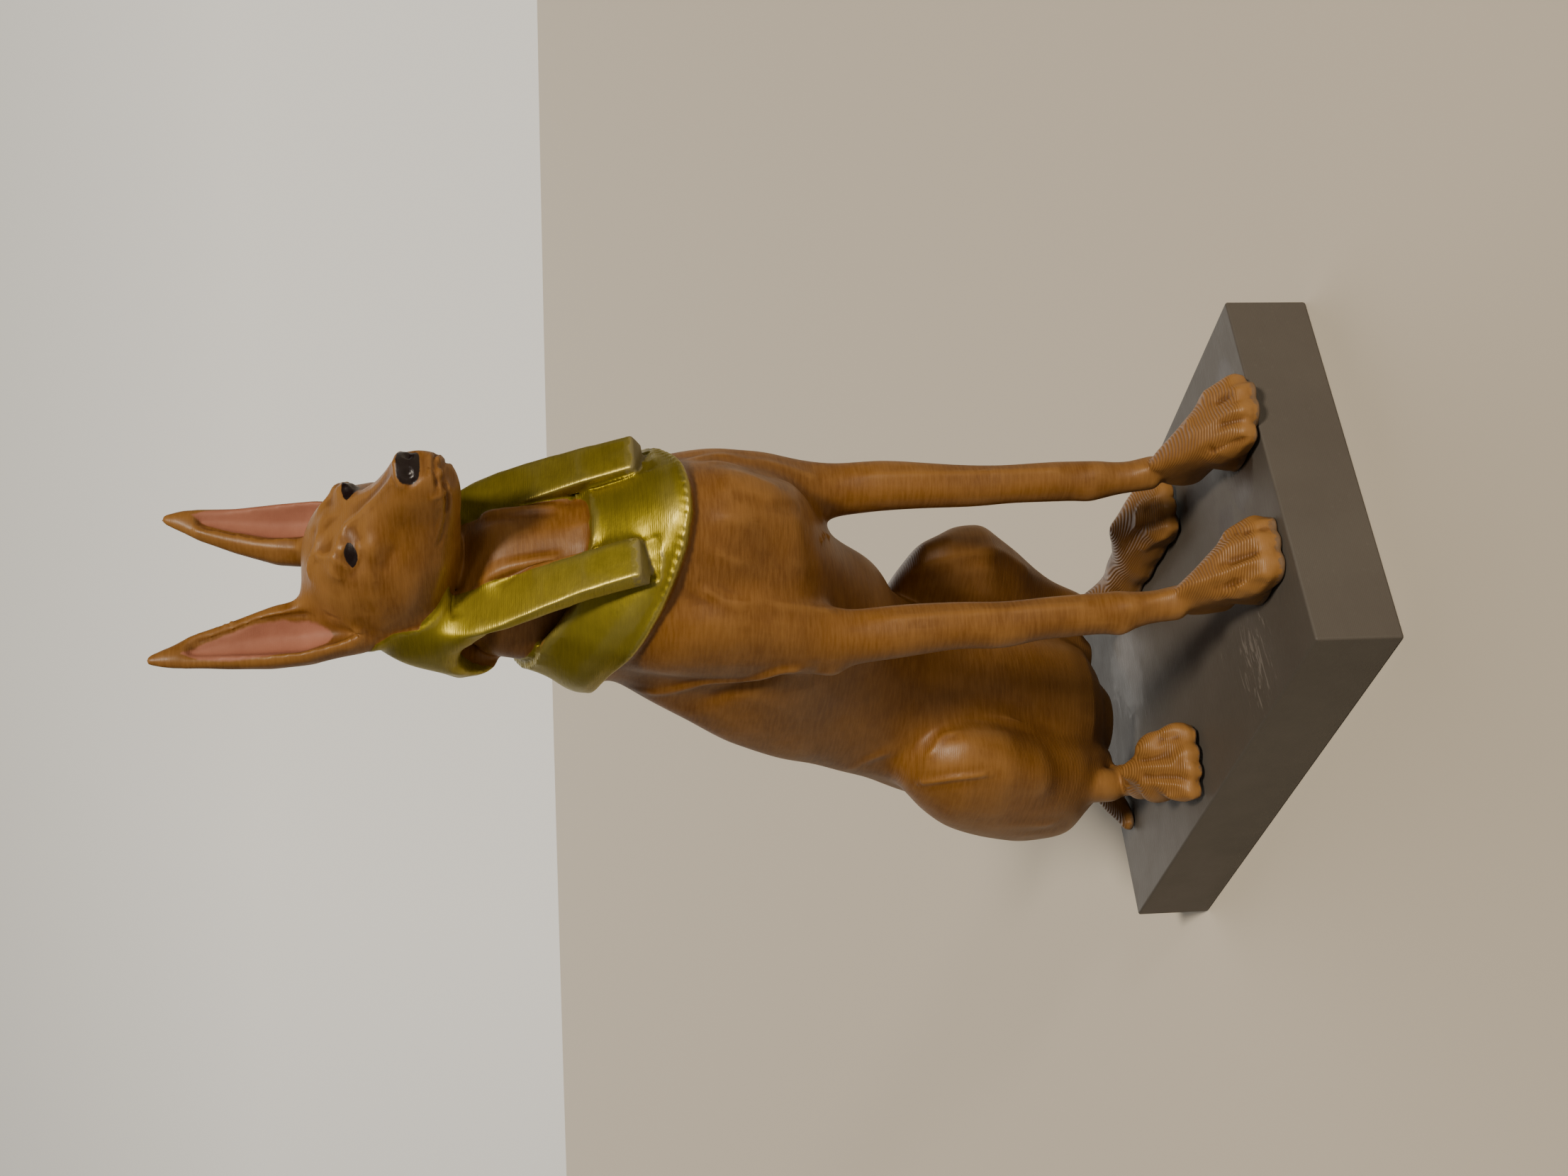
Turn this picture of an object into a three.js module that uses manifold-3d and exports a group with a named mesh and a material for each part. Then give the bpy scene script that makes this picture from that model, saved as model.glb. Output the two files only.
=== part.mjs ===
// A small printed souvenir of Anubis as a sitting dog, with headcloth and collar, on its plinth.
// Millimetres, +Z up. The animal faces -Y, and its right side is at -X. The origin is at the
// centre of the plinth's underside.
import * as THREE from 'three';
import { mergeVertices } from 'three/addons/utils/BufferGeometryUtils.js';
import Module from 'manifold-3d';

const wasm = await Module();
wasm.setup();

// Driving dimensions
const PLINTH = { width: 43.4, depth: 70, height: 9.3, edge: 0.35 };
const EDGE_STEPS = 2;
const CLEARANCE = 0.3;
const FLOOR = PLINTH.height + CLEARANCE;
const BROWN = { color: 0x8a5220, roughness: 0.45, metalness: 0 };
const GREY = { color: 0x64604f, roughness: 0.6, metalness: 0 };
const RIGHT = -1;
const LEFT = 1;

// A form is a row of sections. Each section gives its centre x, y, z, its half width, its depths
// towards the front and the back, the angle that it leans from level, and how square it is:
// 2 is an ellipse, and more is a rounded box. A section that leans 90 stands upright, and its
// front is then its lower side.
const ROUND = 2;

function catmullRom(a, b, c, d, t) {
  const slope = c - a;
  const bend = 2 * a - 5 * b + 4 * c - d;
  const twist = 3 * (b - c) + d - a;
  return b + 0.5 * t * (slope + t * (bend + t * twist));
}

function sectionAt(rows, place) {
  const span = Math.min(Math.floor(place), rows.length - 2);
  const near = [-1, 0, 1, 2].map((k) => rows[THREE.MathUtils.clamp(span + k, 0, rows.length - 1)]);
  return near[1].map((_, i) => catmullRom(...near.map((row) => row[i]), place - span));
}

function roundedPower(value, square) {
  return Math.sign(value) * Math.abs(value) ** (2 / square);
}

function ring(section, sides, scale = 1, shift = 0) {
  const [x, y, z, wide, front, back, lean = 0, square = ROUND] = section;
  const tilt = THREE.MathUtils.degToRad(lean);
  const along = new THREE.Vector3(0, Math.cos(tilt), Math.sin(tilt));
  const normal = new THREE.Vector3(0, -Math.sin(tilt), Math.cos(tilt));
  const points = [];
  for (let i = 0; i < sides; i += 1) {
    const angle = (i / sides) * 2 * Math.PI;
    const depth = Math.sin(angle) < 0 ? front : back;
    const point = new THREE.Vector3(x, y, z).addScaledVector(normal, shift);
    point.addScaledVector(along, roundedPower(Math.sin(angle), square) * depth * scale);
    point.x += roundedPower(Math.cos(angle), square) * wide * scale;
    points.push(point);
  }
  return points;
}

// The caps are half domes of the given height, counted along the row from its first section.
function loft(rows, { sides = 16, steps = 2, caps = [0, 0], capSteps = 2 }) {
  const full = rows.map((row) => [...row, ...[0, ROUND].slice(row.length - 6)]);
  const rings = [];
  const first = full[0];
  const last = full[full.length - 1];
  const facing = (a, b) => {
    const tilt = THREE.MathUtils.degToRad(a[6]);
    return Math.sign(-Math.sin(tilt) * (b[1] - a[1]) + Math.cos(tilt) * (b[2] - a[2])) || 1;
  };
  const startSign = facing(first, full[1]);
  const endSign = facing(last, full[full.length - 2]);
  const domes = (section, height, sign) => {
    const list = [];
    for (let k = 1; k <= capSteps; k += 1) {
      const angle = (k / capSteps) * (Math.PI / 2);
      const scale = k === capSteps ? 0 : Math.cos(angle);
      list.push([section, scale, -sign * height * Math.sin(angle)]);
    }
    return list;
  };
  const start = domes(first, caps[0], startSign).reverse();
  const end = domes(last, caps[1], endSign);
  const middle = [];
  const count = (full.length - 1) * steps;
  for (let k = 0; k <= count; k += 1) {
    middle.push([sectionAt(full, k / steps), 1, 0]);
  }
  [...start, ...middle, ...end].forEach(([section, scale, shift]) => {
    rings.push(scale === 0 ? [ring(section, 1, 0, shift)[0]] : ring(section, sides, scale, shift));
  });
  return skin(rings, sides);
}

function skin(rings, sides) {
  const points = rings.flat();
  const starts = [];
  rings.reduce((sum, list) => {
    starts.push(sum);
    return sum + list.length;
  }, 0);
  const faces = [];
  for (let k = 0; k < rings.length - 1; k += 1) {
    for (let i = 0; i < sides; i += 1) {
      const j = (i + 1) % sides;
      const low = [i, j].map((n) => starts[k] + (rings[k].length === 1 ? 0 : n));
      const high = [i, j].map((n) => starts[k + 1] + (rings[k + 1].length === 1 ? 0 : n));
      if (low[0] !== low[1]) {
        faces.push([low[0], low[1], high[0]]);
      }
      if (high[0] !== high[1]) {
        faces.push([low[1], high[1], high[0]]);
      }
    }
  }
  return solidOf(points, faces);
}

// A closed solid with its faces turned outwards.
function solidOf(points, faces) {
  let volume = 0;
  faces.forEach(([a, b, c]) => {
    volume += points[a].dot(new THREE.Vector3().crossVectors(points[b], points[c]));
  });
  const turned = volume < 0 ? faces.map(([a, b, c]) => [a, c, b]) : faces;
  const vertProperties = new Float32Array(points.flatMap((p) => [p.x, p.y, p.z]));
  const triVerts = new Uint32Array(turned.flat());
  return new wasm.Manifold(new wasm.Mesh({ numProp: 3, vertProperties, triVerts }));
}

function fromGeometry(geometry) {
  geometry.deleteAttribute('normal');
  geometry.deleteAttribute('uv');
  const merged = mergeVertices(geometry, 1e-4);
  const vertProperties = new Float32Array(merged.getAttribute('position').array);
  const triVerts = new Uint32Array(merged.getIndex().array);
  return new wasm.Manifold(new wasm.Mesh({ numProp: 3, vertProperties, triVerts }));
}

function toMesh(solid, name, finish) {
  const { vertProperties, triVerts } = solid.getMesh();
  const geometry = new THREE.BufferGeometry();
  geometry.setAttribute('position', new THREE.BufferAttribute(vertProperties, 3));
  geometry.setIndex(new THREE.BufferAttribute(triVerts, 1));
  geometry.computeVertexNormals();
  const mesh = new THREE.Mesh(geometry, new THREE.MeshStandardMaterial(finish));
  mesh.name = name;
  return mesh;
}

function placed(solid, { x = 0, y = 0, z = 0, turn = 0 }) {
  const matrix = new THREE.Matrix4().makeRotationZ(THREE.MathUtils.degToRad(turn));
  matrix.setPosition(x, y, z);
  return solid.transform(matrix.elements);
}

function union(solids) {
  return solids.reduce((sum, solid) => sum.add(solid));
}

const mirrored = (rows, side) => rows.map(([x, ...rest]) => [x * side, ...rest]);

// The trunk stands on end, from the rump to the top of the neck.
function trunk() {
  const rows = [
    [0, 23.0, 14.5, 5.5, 7, 6],
    [0, 21.8, 17.5, 8.6, 11.5, 11],
    [0, 20.6, 23, 9.8, 13.5, 13.5],
    [0, 18.6, 31, 10.4, 14.8, 14.9],
    [0, 15.6, 39, 10.2, 15.2, 15.2],
    [0, 10.5, 45, 10.0, 16.8, 15.8],
    [0, 4.0, 50.5, 10.2, 17.6, 18.2],
    [0, -1.2, 54.5, 10.9, 19.4, 20.2],
    [0, -5.4, 58.5, 11.3, 23.6, 20.6],
    [0, -9.4, 64, 11.2, 22.4, 20.0],
    [0, -13.0, 70, 10.6, 18.6, 17.0],
    [0, -15.0, 76, 9.4, 14.0, 14.2],
    [0, -15.6, 82, 7.2, 10.2, 9.8, 6],
    [0, -15.6, 88, 6.6, 9.2, 8.0, 14],
    [0, -16.0, 94, 6.4, 9.4, 6.4, 30],
  ];
  return loft(rows, { sides: 20, steps: 2, caps: [2.2, 2] });
}

// The skull and muzzle, from the back of the head to the nose.
function head() {
  const rows = [
    [0, -13.5, 101.5, 5.4, 5.6, 6.4, 84],
    [0, -15.5, 101.6, 7.0, 7.2, 7.8, 86],
    [0, -19.0, 101.6, 8.0, 8.2, 8.5, 88],
    [0, -23.0, 101.4, 7.4, 8.1, 8.2, 90, 2.2],
    [0, -26.2, 100.6, 6.2, 7.4, 6.9, 90, 2.5],
    [0, -28.6, 99.4, 4.8, 6.2, 5.5, 90, 2.6],
    [0, -31.5, 97.8, 3.5, 4.8, 4.2, 90, 2.7],
    [0, -34.5, 97.3, 3.0, 3.9, 3.0, 90, 2.7],
    [0, -36.4, 97.2, 2.2, 2.4, 2.3, 90, 2.7],
  ];
  const skull = loft(rows, { sides: 18, steps: 2, caps: [2.0, 0.9] });
  return union([skull, brow(RIGHT), brow(LEFT)]);
}

function brow(side) {
  const rows = [
    [4.5, -22.8, 105.9, 1.0, 1.0, 1.0, 90],
    [4.4, -25.4, 105.5, 1.7, 1.5, 1.6, 90],
    [3.2, -27.6, 105.0, 1.3, 1.0, 1.2, 90],
  ];
  return loft(mirrored(rows, side), { sides: 8, steps: 1, caps: [0.6, 0.9] });
}

// Each ear is a tall leaf with a hollow in front.
function ear(side) {
  const leaf = [
    [6.6, -16.6, 101.5, 1.6, 1.6, 1.8],
    [6.2, -16.7, 105, 2.9, 2.2, 3.0],
    [6.0, -16.0, 109, 3.9, 2.4, 3.2],
    [6.4, -15.4, 113, 3.6, 2.2, 2.8],
    [7.15, -15.1, 117.5, 2.65, 1.6, 2.0],
    [7.9, -15.2, 121.5, 1.8, 1.0, 1.1],
    [8.7, -15.2, 124.6, 0.6, 0.5, 0.5],
  ];
  const hollow = [
    [7.4, -19.2, 103.8, 0.8, 1.2, 1.8],
    [7.2, -19.6, 106.5, 1.9, 1.2, 3.6],
    [7.0, -19.2, 110, 2.7, 1.2, 4.4],
    [7.2, -18.6, 114, 2.4, 1.2, 3.9],
    [7.7, -17.8, 118, 1.6, 1.2, 2.8],
    [8.2, -16.9, 121.5, 0.8, 1.0, 1.6],
  ];
  const cup = loft(mirrored(leaf, side), { sides: 14, steps: 1, caps: [0.8, 0.5] });
  return cup.subtract(loft(mirrored(hollow, side), { sides: 10, steps: 1, caps: [0.5, 0.4] }));
}

// A foreleg from the shoulder down to the wrist. The set brings the leg towards the middle.
function foreleg(side, { set, y, z }) {
  const rows = [
    [7.0, -17.5, 77, 2.6, 4.0, 4.5],
    [8.4, -18.0, 72, 4.0, 6.4, 7.0],
    [8.8, -18.2, 66, 4.2, 6.6, 7.6],
    [9.1, -17.8, 60.5, 3.9, 5.8, 6.4],
    [9.7 - set * 0.4, -17.2, 55.5, 3.4, 4.2, 5.2],
    [9.9 - set * 0.6, -17.8, 52.4, 2.9, 3.2, 3.6],
    [9.9 - set * 0.7, -18.7, 47, 2.9, 2.8, 2.9],
    [9.7 - set * 0.8, -19.3, 41, 2.55, 2.5, 2.5],
    [9.5 - set * 0.9, -20.0, 33, 2.2, 2.2, 2.2],
    [9.4 - set, -20.2, 26.5, 2.3, 2.2, 2.4],
    [9.2 - set, y, 23, 2.2, 2.1, 2.3],
    [9.1 - set, y - 0.6, z, 1.8, 1.8, 1.8],
    [9.1 - set, y - 1.6, z - 3, 1.9, 1.9, 2.1],
  ];
  return loft(mirrored(rows, side), { sides: 12, steps: 1, caps: [2, 0.8] });
}

// A paw at the origin, pointing to -Y: its back slopes down to four toes.
function paw({ length, width, height }) {
  const half = width / 2;
  const back = [
    [0, 1.0, height * 0.42, half * 0.3, height * 0.3, height * 0.36, 90],
    [0, -length * 0.15, height * 0.46, half * 0.44, height * 0.42, height * 0.5, 90],
    [0, -length * 0.38, height * 0.4, half * 0.66, height * 0.38, height * 0.42, 90],
    [0, -length * 0.62, height * 0.32, half * 0.88, height * 0.31, height * 0.3, 90],
    [0, -length * 0.84, height * 0.2, half * 0.8, height * 0.19, height * 0.18, 90],
  ];
  const parts = [loft(back, { sides: 10, steps: 1, caps: [0.8, 0.8], capSteps: 1 })];
  const toes = 4;
  const spread = width * 0.96;
  const thick = width / toes * 0.57;
  for (let i = 0; i < toes; i += 1) {
    const across = (i + 0.5) / toes - 0.5;
    const reach = length * (1 - 0.55 * across * across);
    const x = across * spread;
    const rows = [
      [x * 0.85, -length * 0.5, height * 0.28, thick, height * 0.2, height * 0.24, 90],
      [x, -reach * 0.74, height * 0.22, thick * 1.1, height * 0.22, height * 0.29, 90, 2.4],
      [x, -reach * 0.95, height * 0.15, thick, height * 0.15, height * 0.15, 90, 2.6],
    ];
    parts.push(loft(rows, { sides: 6, steps: 1, caps: [0.8, length * 0.05] }));
  }
  return union(parts);
}

// The thigh, from the rump forward to the knee. The reach is how far forward the knee comes.
function thigh(side, reach) {
  const rows = [
    [7.7, 21.0, 16, 3.4, 5.0, 6.0],
    [9.9, 19.5, 20, 4.8, 7.6, 9.2],
    [10.5, 18.2, 23, 5.4, 9.2 + reach * 0.3, 11.2],
    [10.9, 16.8, 26, 5.6, 10.6 + reach * 0.6, 12.8],
    [11.3, 13.6, 31.5, 5.6, 12.2 + reach, 13.2],
    [11.3, 12.4, 36, 5.1, 12.2 + reach, 11.4],
    [10.9, 11.6, 39.4, 4.0, 10.0 + reach, 8.6],
    [9.8, 11.6, 42.2, 2.6, 5.6 + reach * 0.8, 5.2],
  ];
  return loft(mirrored(rows, side), { sides: 16, steps: 1, caps: [2.0, 1.0] });
}

// The shank goes from the knee back to the hock.
function shank(side, reach, { x, y, z }) {
  const rows = [
    [x, y + 0.4, z - 3.5, 1.6, 2.0, 2.2],
    [x, y, z, 1.9, 2.3, 2.6],
    [x + 0.2, y - 3.6, z + 5, 2.6, 3.0, 3.2],
    [12.2, 9.4 - reach * 0.6, 26, 3.5, 3.8, 4.4],
    [12.0, 6.0 - reach, 31.5, 4.2, 4.8, 4.8],
    [11.6, 5.6 - reach, 35.5, 3.8, 5.0, 4.0],
  ];
  return loft(mirrored(rows, side), { sides: 10, steps: 1, caps: [1, 2.0] });
}

function hindFoot({ length, rise }) {
  const rows = [
    [0, length - 8.6, rise * 0.7, 1.7, rise * 0.4, 2.0, 90],
    [0, length - 11.5, rise * 0.6, 1.9, rise * 0.5, 2.0, 90],
    [0, 5, 2.9, 1.9, 2.4, 1.9, 90],
    [0, 1, 3.1, 2.5, 2.8, 2.4, 90],
    [0, -2, 3.4, 3.2, 3.0, 2.8, 90],
  ];
  const foot = loft(rows, { sides: 10, steps: 1, caps: [1.6, 1] });
  return foot.add(paw({ length: 10.2, width: 8.6, height: 7.8 }));
}

// The tail comes out under the rump and lies on the plinth. It points to -Y before it is turned.
function tail() {
  const rows = [
    [4.6, 2.6, 6.4, 2.4, 2.4, 2.4, 90],
    [1.8, 1.6, 3.4, 2.1, 2.2, 2.2, 90],
    [0, -1.0, 2.0, 1.9, 1.8, 1.9, 90],
    [0, -4.5, 1.6, 1.6, 1.5, 1.6, 90],
    [0, -7.6, 1.2, 1.1, 1.0, 1.1, 90],
  ];
  return loft(rows, { sides: 10, steps: 1, caps: [1, 1] });
}

// The hood wraps the back of the head and neck. An arch on each side parts it from the lappets.
function hood() {
  const rows = [
    [0, -14, 89.2, 8.6, 8.6, 6.0, 0, 2.3],
    [0, -14, 90.2, 8.9, 9.2, 7.8, 0, 2.3],
    [0, -14, 92, 9.1, 9.2, 9.6, 0, 2.3],
    [0, -14, 94.2, 9.1, 8.6, 10.4, 0, 2.3],
    [0, -14, 96.4, 8.7, 7.8, 8.8, 0, 2.2],
    [0, -14, 98.6, 8.1, 6.5, 6.8, 0, 2.1],
    [0, -14, 100.6, 7.3, 5, 5.0],
    [0, -14, 102.6, 6.3, 4, 3.4],
  ];
  const cheeks = [
    [0, -17, 90.4, 9.4, 5.6, 5, 0, 3.2],
    [0, -17, 93.4, 9.4, 5.0, 5, 0, 3.2],
    [0, -16.6, 96, 9.0, 3.6, 4.4, 0, 3],
    [0, -16, 98.6, 8.3, 2.4, 3.4, 0, 2.6],
  ];
  const back = loft(rows, { sides: 20, steps: 1, caps: [0.5, 1.0] });
  const body = back.add(loft(cheeks, { sides: 16, steps: 1, caps: [0.3, 1.0] }));
  const arch = [
    [-8.6, 86], [-8.6, 90], [-9.6, 92.6], [-12, 94.2], [-15, 93.6], [-18, 91.4], [-20.4, 88.6], [-21, 86],
  ];
  return body.subtract(bar(arch, 12)).subtract(frontOpening());
}

// A prism along X, with the outline given in Y and Z, that reaches to both sides.
function bar(outline, reach) {
  const shape = new THREE.Shape(outline.map(([y, z]) => new THREE.Vector2(y, z)));
  const geometry = new THREE.ExtrudeGeometry(shape, { depth: reach * 2, bevelEnabled: false });
  const axes = new THREE.Matrix4().set(0, 0, 1, -reach, 1, 0, 0, 0, 0, 1, 0, 0, 0, 0, 0, 1);
  return fromGeometry(geometry.applyMatrix4(axes));
}

function frontOpening() {
  const rows = [
    [0, -26, 84, 4.4, 10, 12, 0, 8],
    [0, -26, 90, 4.4, 10, 12, 0, 8],
    [0, -26, 94, 5.4, 10, 12, 0, 8],
    [0, -26, 106, 8.5, 10, 12, 0, 8],
  ];
  return loft(rows, { sides: 16, steps: 1, caps: [0.5, 0.5] });
}

// The two lappets hang from the hood down over the collar. A spare width and drop give the
// notch that each one lies in.
function lappet(side, { spare = 0, drop = 0 } = {}) {
  const thick = 1.5;
  const rows = [
    [6.6, -28.9 - drop * 0.42, 74.9 - drop * 0.9, 2.2 + spare, thick, thick, -25, 9],
    [6.7, -26.7, 80.6, 2.3 + spare, thick, thick, -24, 9],
    [6.9, -24.6, 85.0, 2.5 + spare, thick, thick, -25, 8],
    [7.1, -22.5, 88.9, 2.6, thick, thick, -25, 7],
    [7.2, -20.6, 92.6, 2.4, thick, thick, -25, 5],
    [7.0, -18.4, 96.0, 1.6, 1.1, 1.1, -35, 4],
  ];
  return loft(mirrored(rows, side), { sides: 12, steps: 1, caps: [0.25, 0.5] });
}

// The broad collar lies on the shoulders. Its top edge stands off the neck.
function collar() {
  const rows = [
    [0, -15.0, 74.9, 11.2, 17.6, 13.2, 17],
    [0, -15.0, 75.4, 11.9, 18.4, 14.2, 17],
    [0, -15.0, 77.0, 11.8, 17.9, 14.5, 17.5],
    [0, -15.2, 79.4, 11.0, 16.2, 13.5, 19],
    [0, -15.5, 82, 10.2, 14.3, 12.6, 21],
    [0, -15.6, 84.4, 9.4, 12.8, 11.8, 22.5],
  ];
  const well = [
    [0, -15.6, 80.5, 7.4, 8.4, 9.4, 20],
    [0, -15.5, 82, 8.6, 8.8, 10.8, 21],
    [0, -15.6, 86, 8.4, 8.8, 10.8, 22.5],
  ];
  const body = loft(rows, { sides: 24, steps: 1, caps: [0, 0], capSteps: 1 });
  const hollow = loft(well, { sides: 16, steps: 1, caps: [0.2, 1], capSteps: 1 });
  const notches = [RIGHT, LEFT].map((side) => lappet(side, { spare: 0.3, drop: 0.4 }));
  return union([body.subtract(hollow).subtract(union(notches))]);
}

function figure() {
  const parts = [trunk(), head(), placed(tail(), { x: -4, y: 32, z: FLOOR, turn: -70 }), hood(), collar()];
  [RIGHT, LEFT].forEach((side) => {
    parts.push(ear(side), lappet(side));
  });
  parts.push(foreleg(RIGHT, { set: 0.2, y: -20.2, z: 19.8 }));
  parts.push(foreleg(LEFT, { set: 1.1, y: -20.4, z: 19.6 }));
  const nearKnee = -3.6;
  const farKnee = 4.3;
  parts.push(thigh(RIGHT, nearKnee), shank(RIGHT, nearKnee, { x: 11.6, y: 17.0, z: 18.4 }));
  parts.push(thigh(LEFT, farKnee), shank(LEFT, farKnee, { x: 12.4, y: 17.4, z: 15 }));
  parts.push(placed(paw({ length: 13, width: 8, height: 9 }), { x: -8.7, y: -20.7, z: FLOOR }));
  parts.push(placed(paw({ length: 15.6, width: 8.6, height: 8.5 }), { x: 8.0, y: -21.8, z: FLOOR, turn: -5 }));
  parts.push(placed(hindFoot({ length: 21, rise: 8 }), { x: -13.6, y: 10, z: FLOOR, turn: -20 }));
  parts.push(placed(hindFoot({ length: 28, rise: 6 }), { x: 13.6, y: 0, z: FLOOR, turn: -4 }));
  return union(parts);
}

// The plinth is a plain block whose upright edges are very slightly rounded.
function plinth() {
  const x = PLINTH.width / 2 - PLINTH.edge;
  const y = PLINTH.depth / 2 - PLINTH.edge;
  const corners = [[x, -y], [x, y], [-x, y], [-x, -y]];
  const block = new THREE.Shape();
  corners.forEach(([across, along], quarter) => {
    const start = (quarter - 1) * (Math.PI / 2);
    block.absarc(across, along, PLINTH.edge, start, start + Math.PI / 2, false);
  });
  block.closePath();
  const shape = { depth: PLINTH.height, bevelEnabled: false, curveSegments: EDGE_STEPS };
  return fromGeometry(new THREE.ExtrudeGeometry(block, shape));
}

const statue = new THREE.Group();
statue.add(toMesh(plinth(), 'plinth', GREY));
statue.add(toMesh(figure(), 'figure', BROWN));
export default statue;
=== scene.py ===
import math

import bmesh
import bpy
import numpy as np
from bpy.props import FloatProperty, FloatVectorProperty, PointerProperty
from bpy.types import Operator, Panel, PropertyGroup
from mathutils import Matrix, Vector


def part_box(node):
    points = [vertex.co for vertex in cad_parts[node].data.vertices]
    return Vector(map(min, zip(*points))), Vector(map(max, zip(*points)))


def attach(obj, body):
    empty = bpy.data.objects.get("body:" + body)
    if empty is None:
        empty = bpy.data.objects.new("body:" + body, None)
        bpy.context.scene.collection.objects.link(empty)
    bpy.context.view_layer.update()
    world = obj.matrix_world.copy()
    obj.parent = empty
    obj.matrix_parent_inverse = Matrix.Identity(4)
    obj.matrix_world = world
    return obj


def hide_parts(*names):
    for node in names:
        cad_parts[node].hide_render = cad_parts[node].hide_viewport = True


bl_info = {
    "name": "Painted Anubis Souvenir",
    "version": (1, 0, 0),
    "blender": (4, 5, 0),
    "location": "3D View > Sidebar > Anubis",
    "description": "Sculpts and paints a small printed figure of Anubis as a sitting dog, on its plinth",
    "category": "Object",
}

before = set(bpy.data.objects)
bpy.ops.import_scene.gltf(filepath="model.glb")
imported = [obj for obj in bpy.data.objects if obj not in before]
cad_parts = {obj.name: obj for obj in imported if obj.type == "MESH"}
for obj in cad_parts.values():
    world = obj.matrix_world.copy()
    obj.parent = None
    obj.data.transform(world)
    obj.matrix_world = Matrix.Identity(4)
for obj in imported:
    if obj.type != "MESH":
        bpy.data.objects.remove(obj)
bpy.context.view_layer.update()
PLINTH_LOW, PLINTH_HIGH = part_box("plinth")

MM = 0.001
PER_MM = 1000.0
LAYER = 0.2 * MM
BOTH = (-1, 1)
NEAR = (-1,)
FAR = (1,)
PLINTH_TOP = PLINTH_HIGH.z * PER_MM
FINE_PITCH = 0.24


# ---------------------------------------------------------------- clay


def smooth_path(points, steps=6):
    """A smooth row of points through the given ones."""
    rows = np.array([points[0], *points, points[-1]], float)
    out = []
    for k in range(1, len(rows) - 2):
        a, b, c, d = rows[k - 1:k + 3]
        for t in np.linspace(0, 1, steps, endpoint=False):
            out.append(b + 0.5 * t * (c - a + t * (2 * a - 5 * b + 4 * c - d + t * (3 * (b - c) + d - a))))
    out.append(rows[-2])
    return np.array(out)


def path_distance(points, path):
    """Distance from each point to a row of points joined by straight lines."""
    best = np.full(len(points), 1e9)
    for a, b in zip(path[:-1], path[1:]):
        along = b - a
        length = max(float(along @ along), 1e-9)
        t = np.clip(((points - a) @ along) / length, 0, 1)
        gap = points - a - t[:, None] * along
        best = np.minimum(best, np.einsum("ij,ij->i", gap, gap))
    return np.sqrt(best)


def outline_distance(across, up, corners):
    """Signed distance to a flat outline, more than zero inside it."""
    points = np.stack([across, up], 1)
    ring = np.array([*corners, corners[0]], float)
    inside = np.zeros(len(points), bool)
    for (ax, ay), (bx, by) in zip(ring[:-1], ring[1:]):
        crosses = (ay > up) != (by > up)
        edge = ax + (up - ay) * (bx - ax) / (by - ay if by != ay else 1e-9)
        inside ^= crosses & (across < edge)
    reach = path_distance(points, ring)
    return np.where(inside, reach, -reach)


def soft_step(value, low, high):
    t = np.clip((value - low) / (high - low), 0, 1)
    return t * t * (3 - 2 * t)


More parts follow.
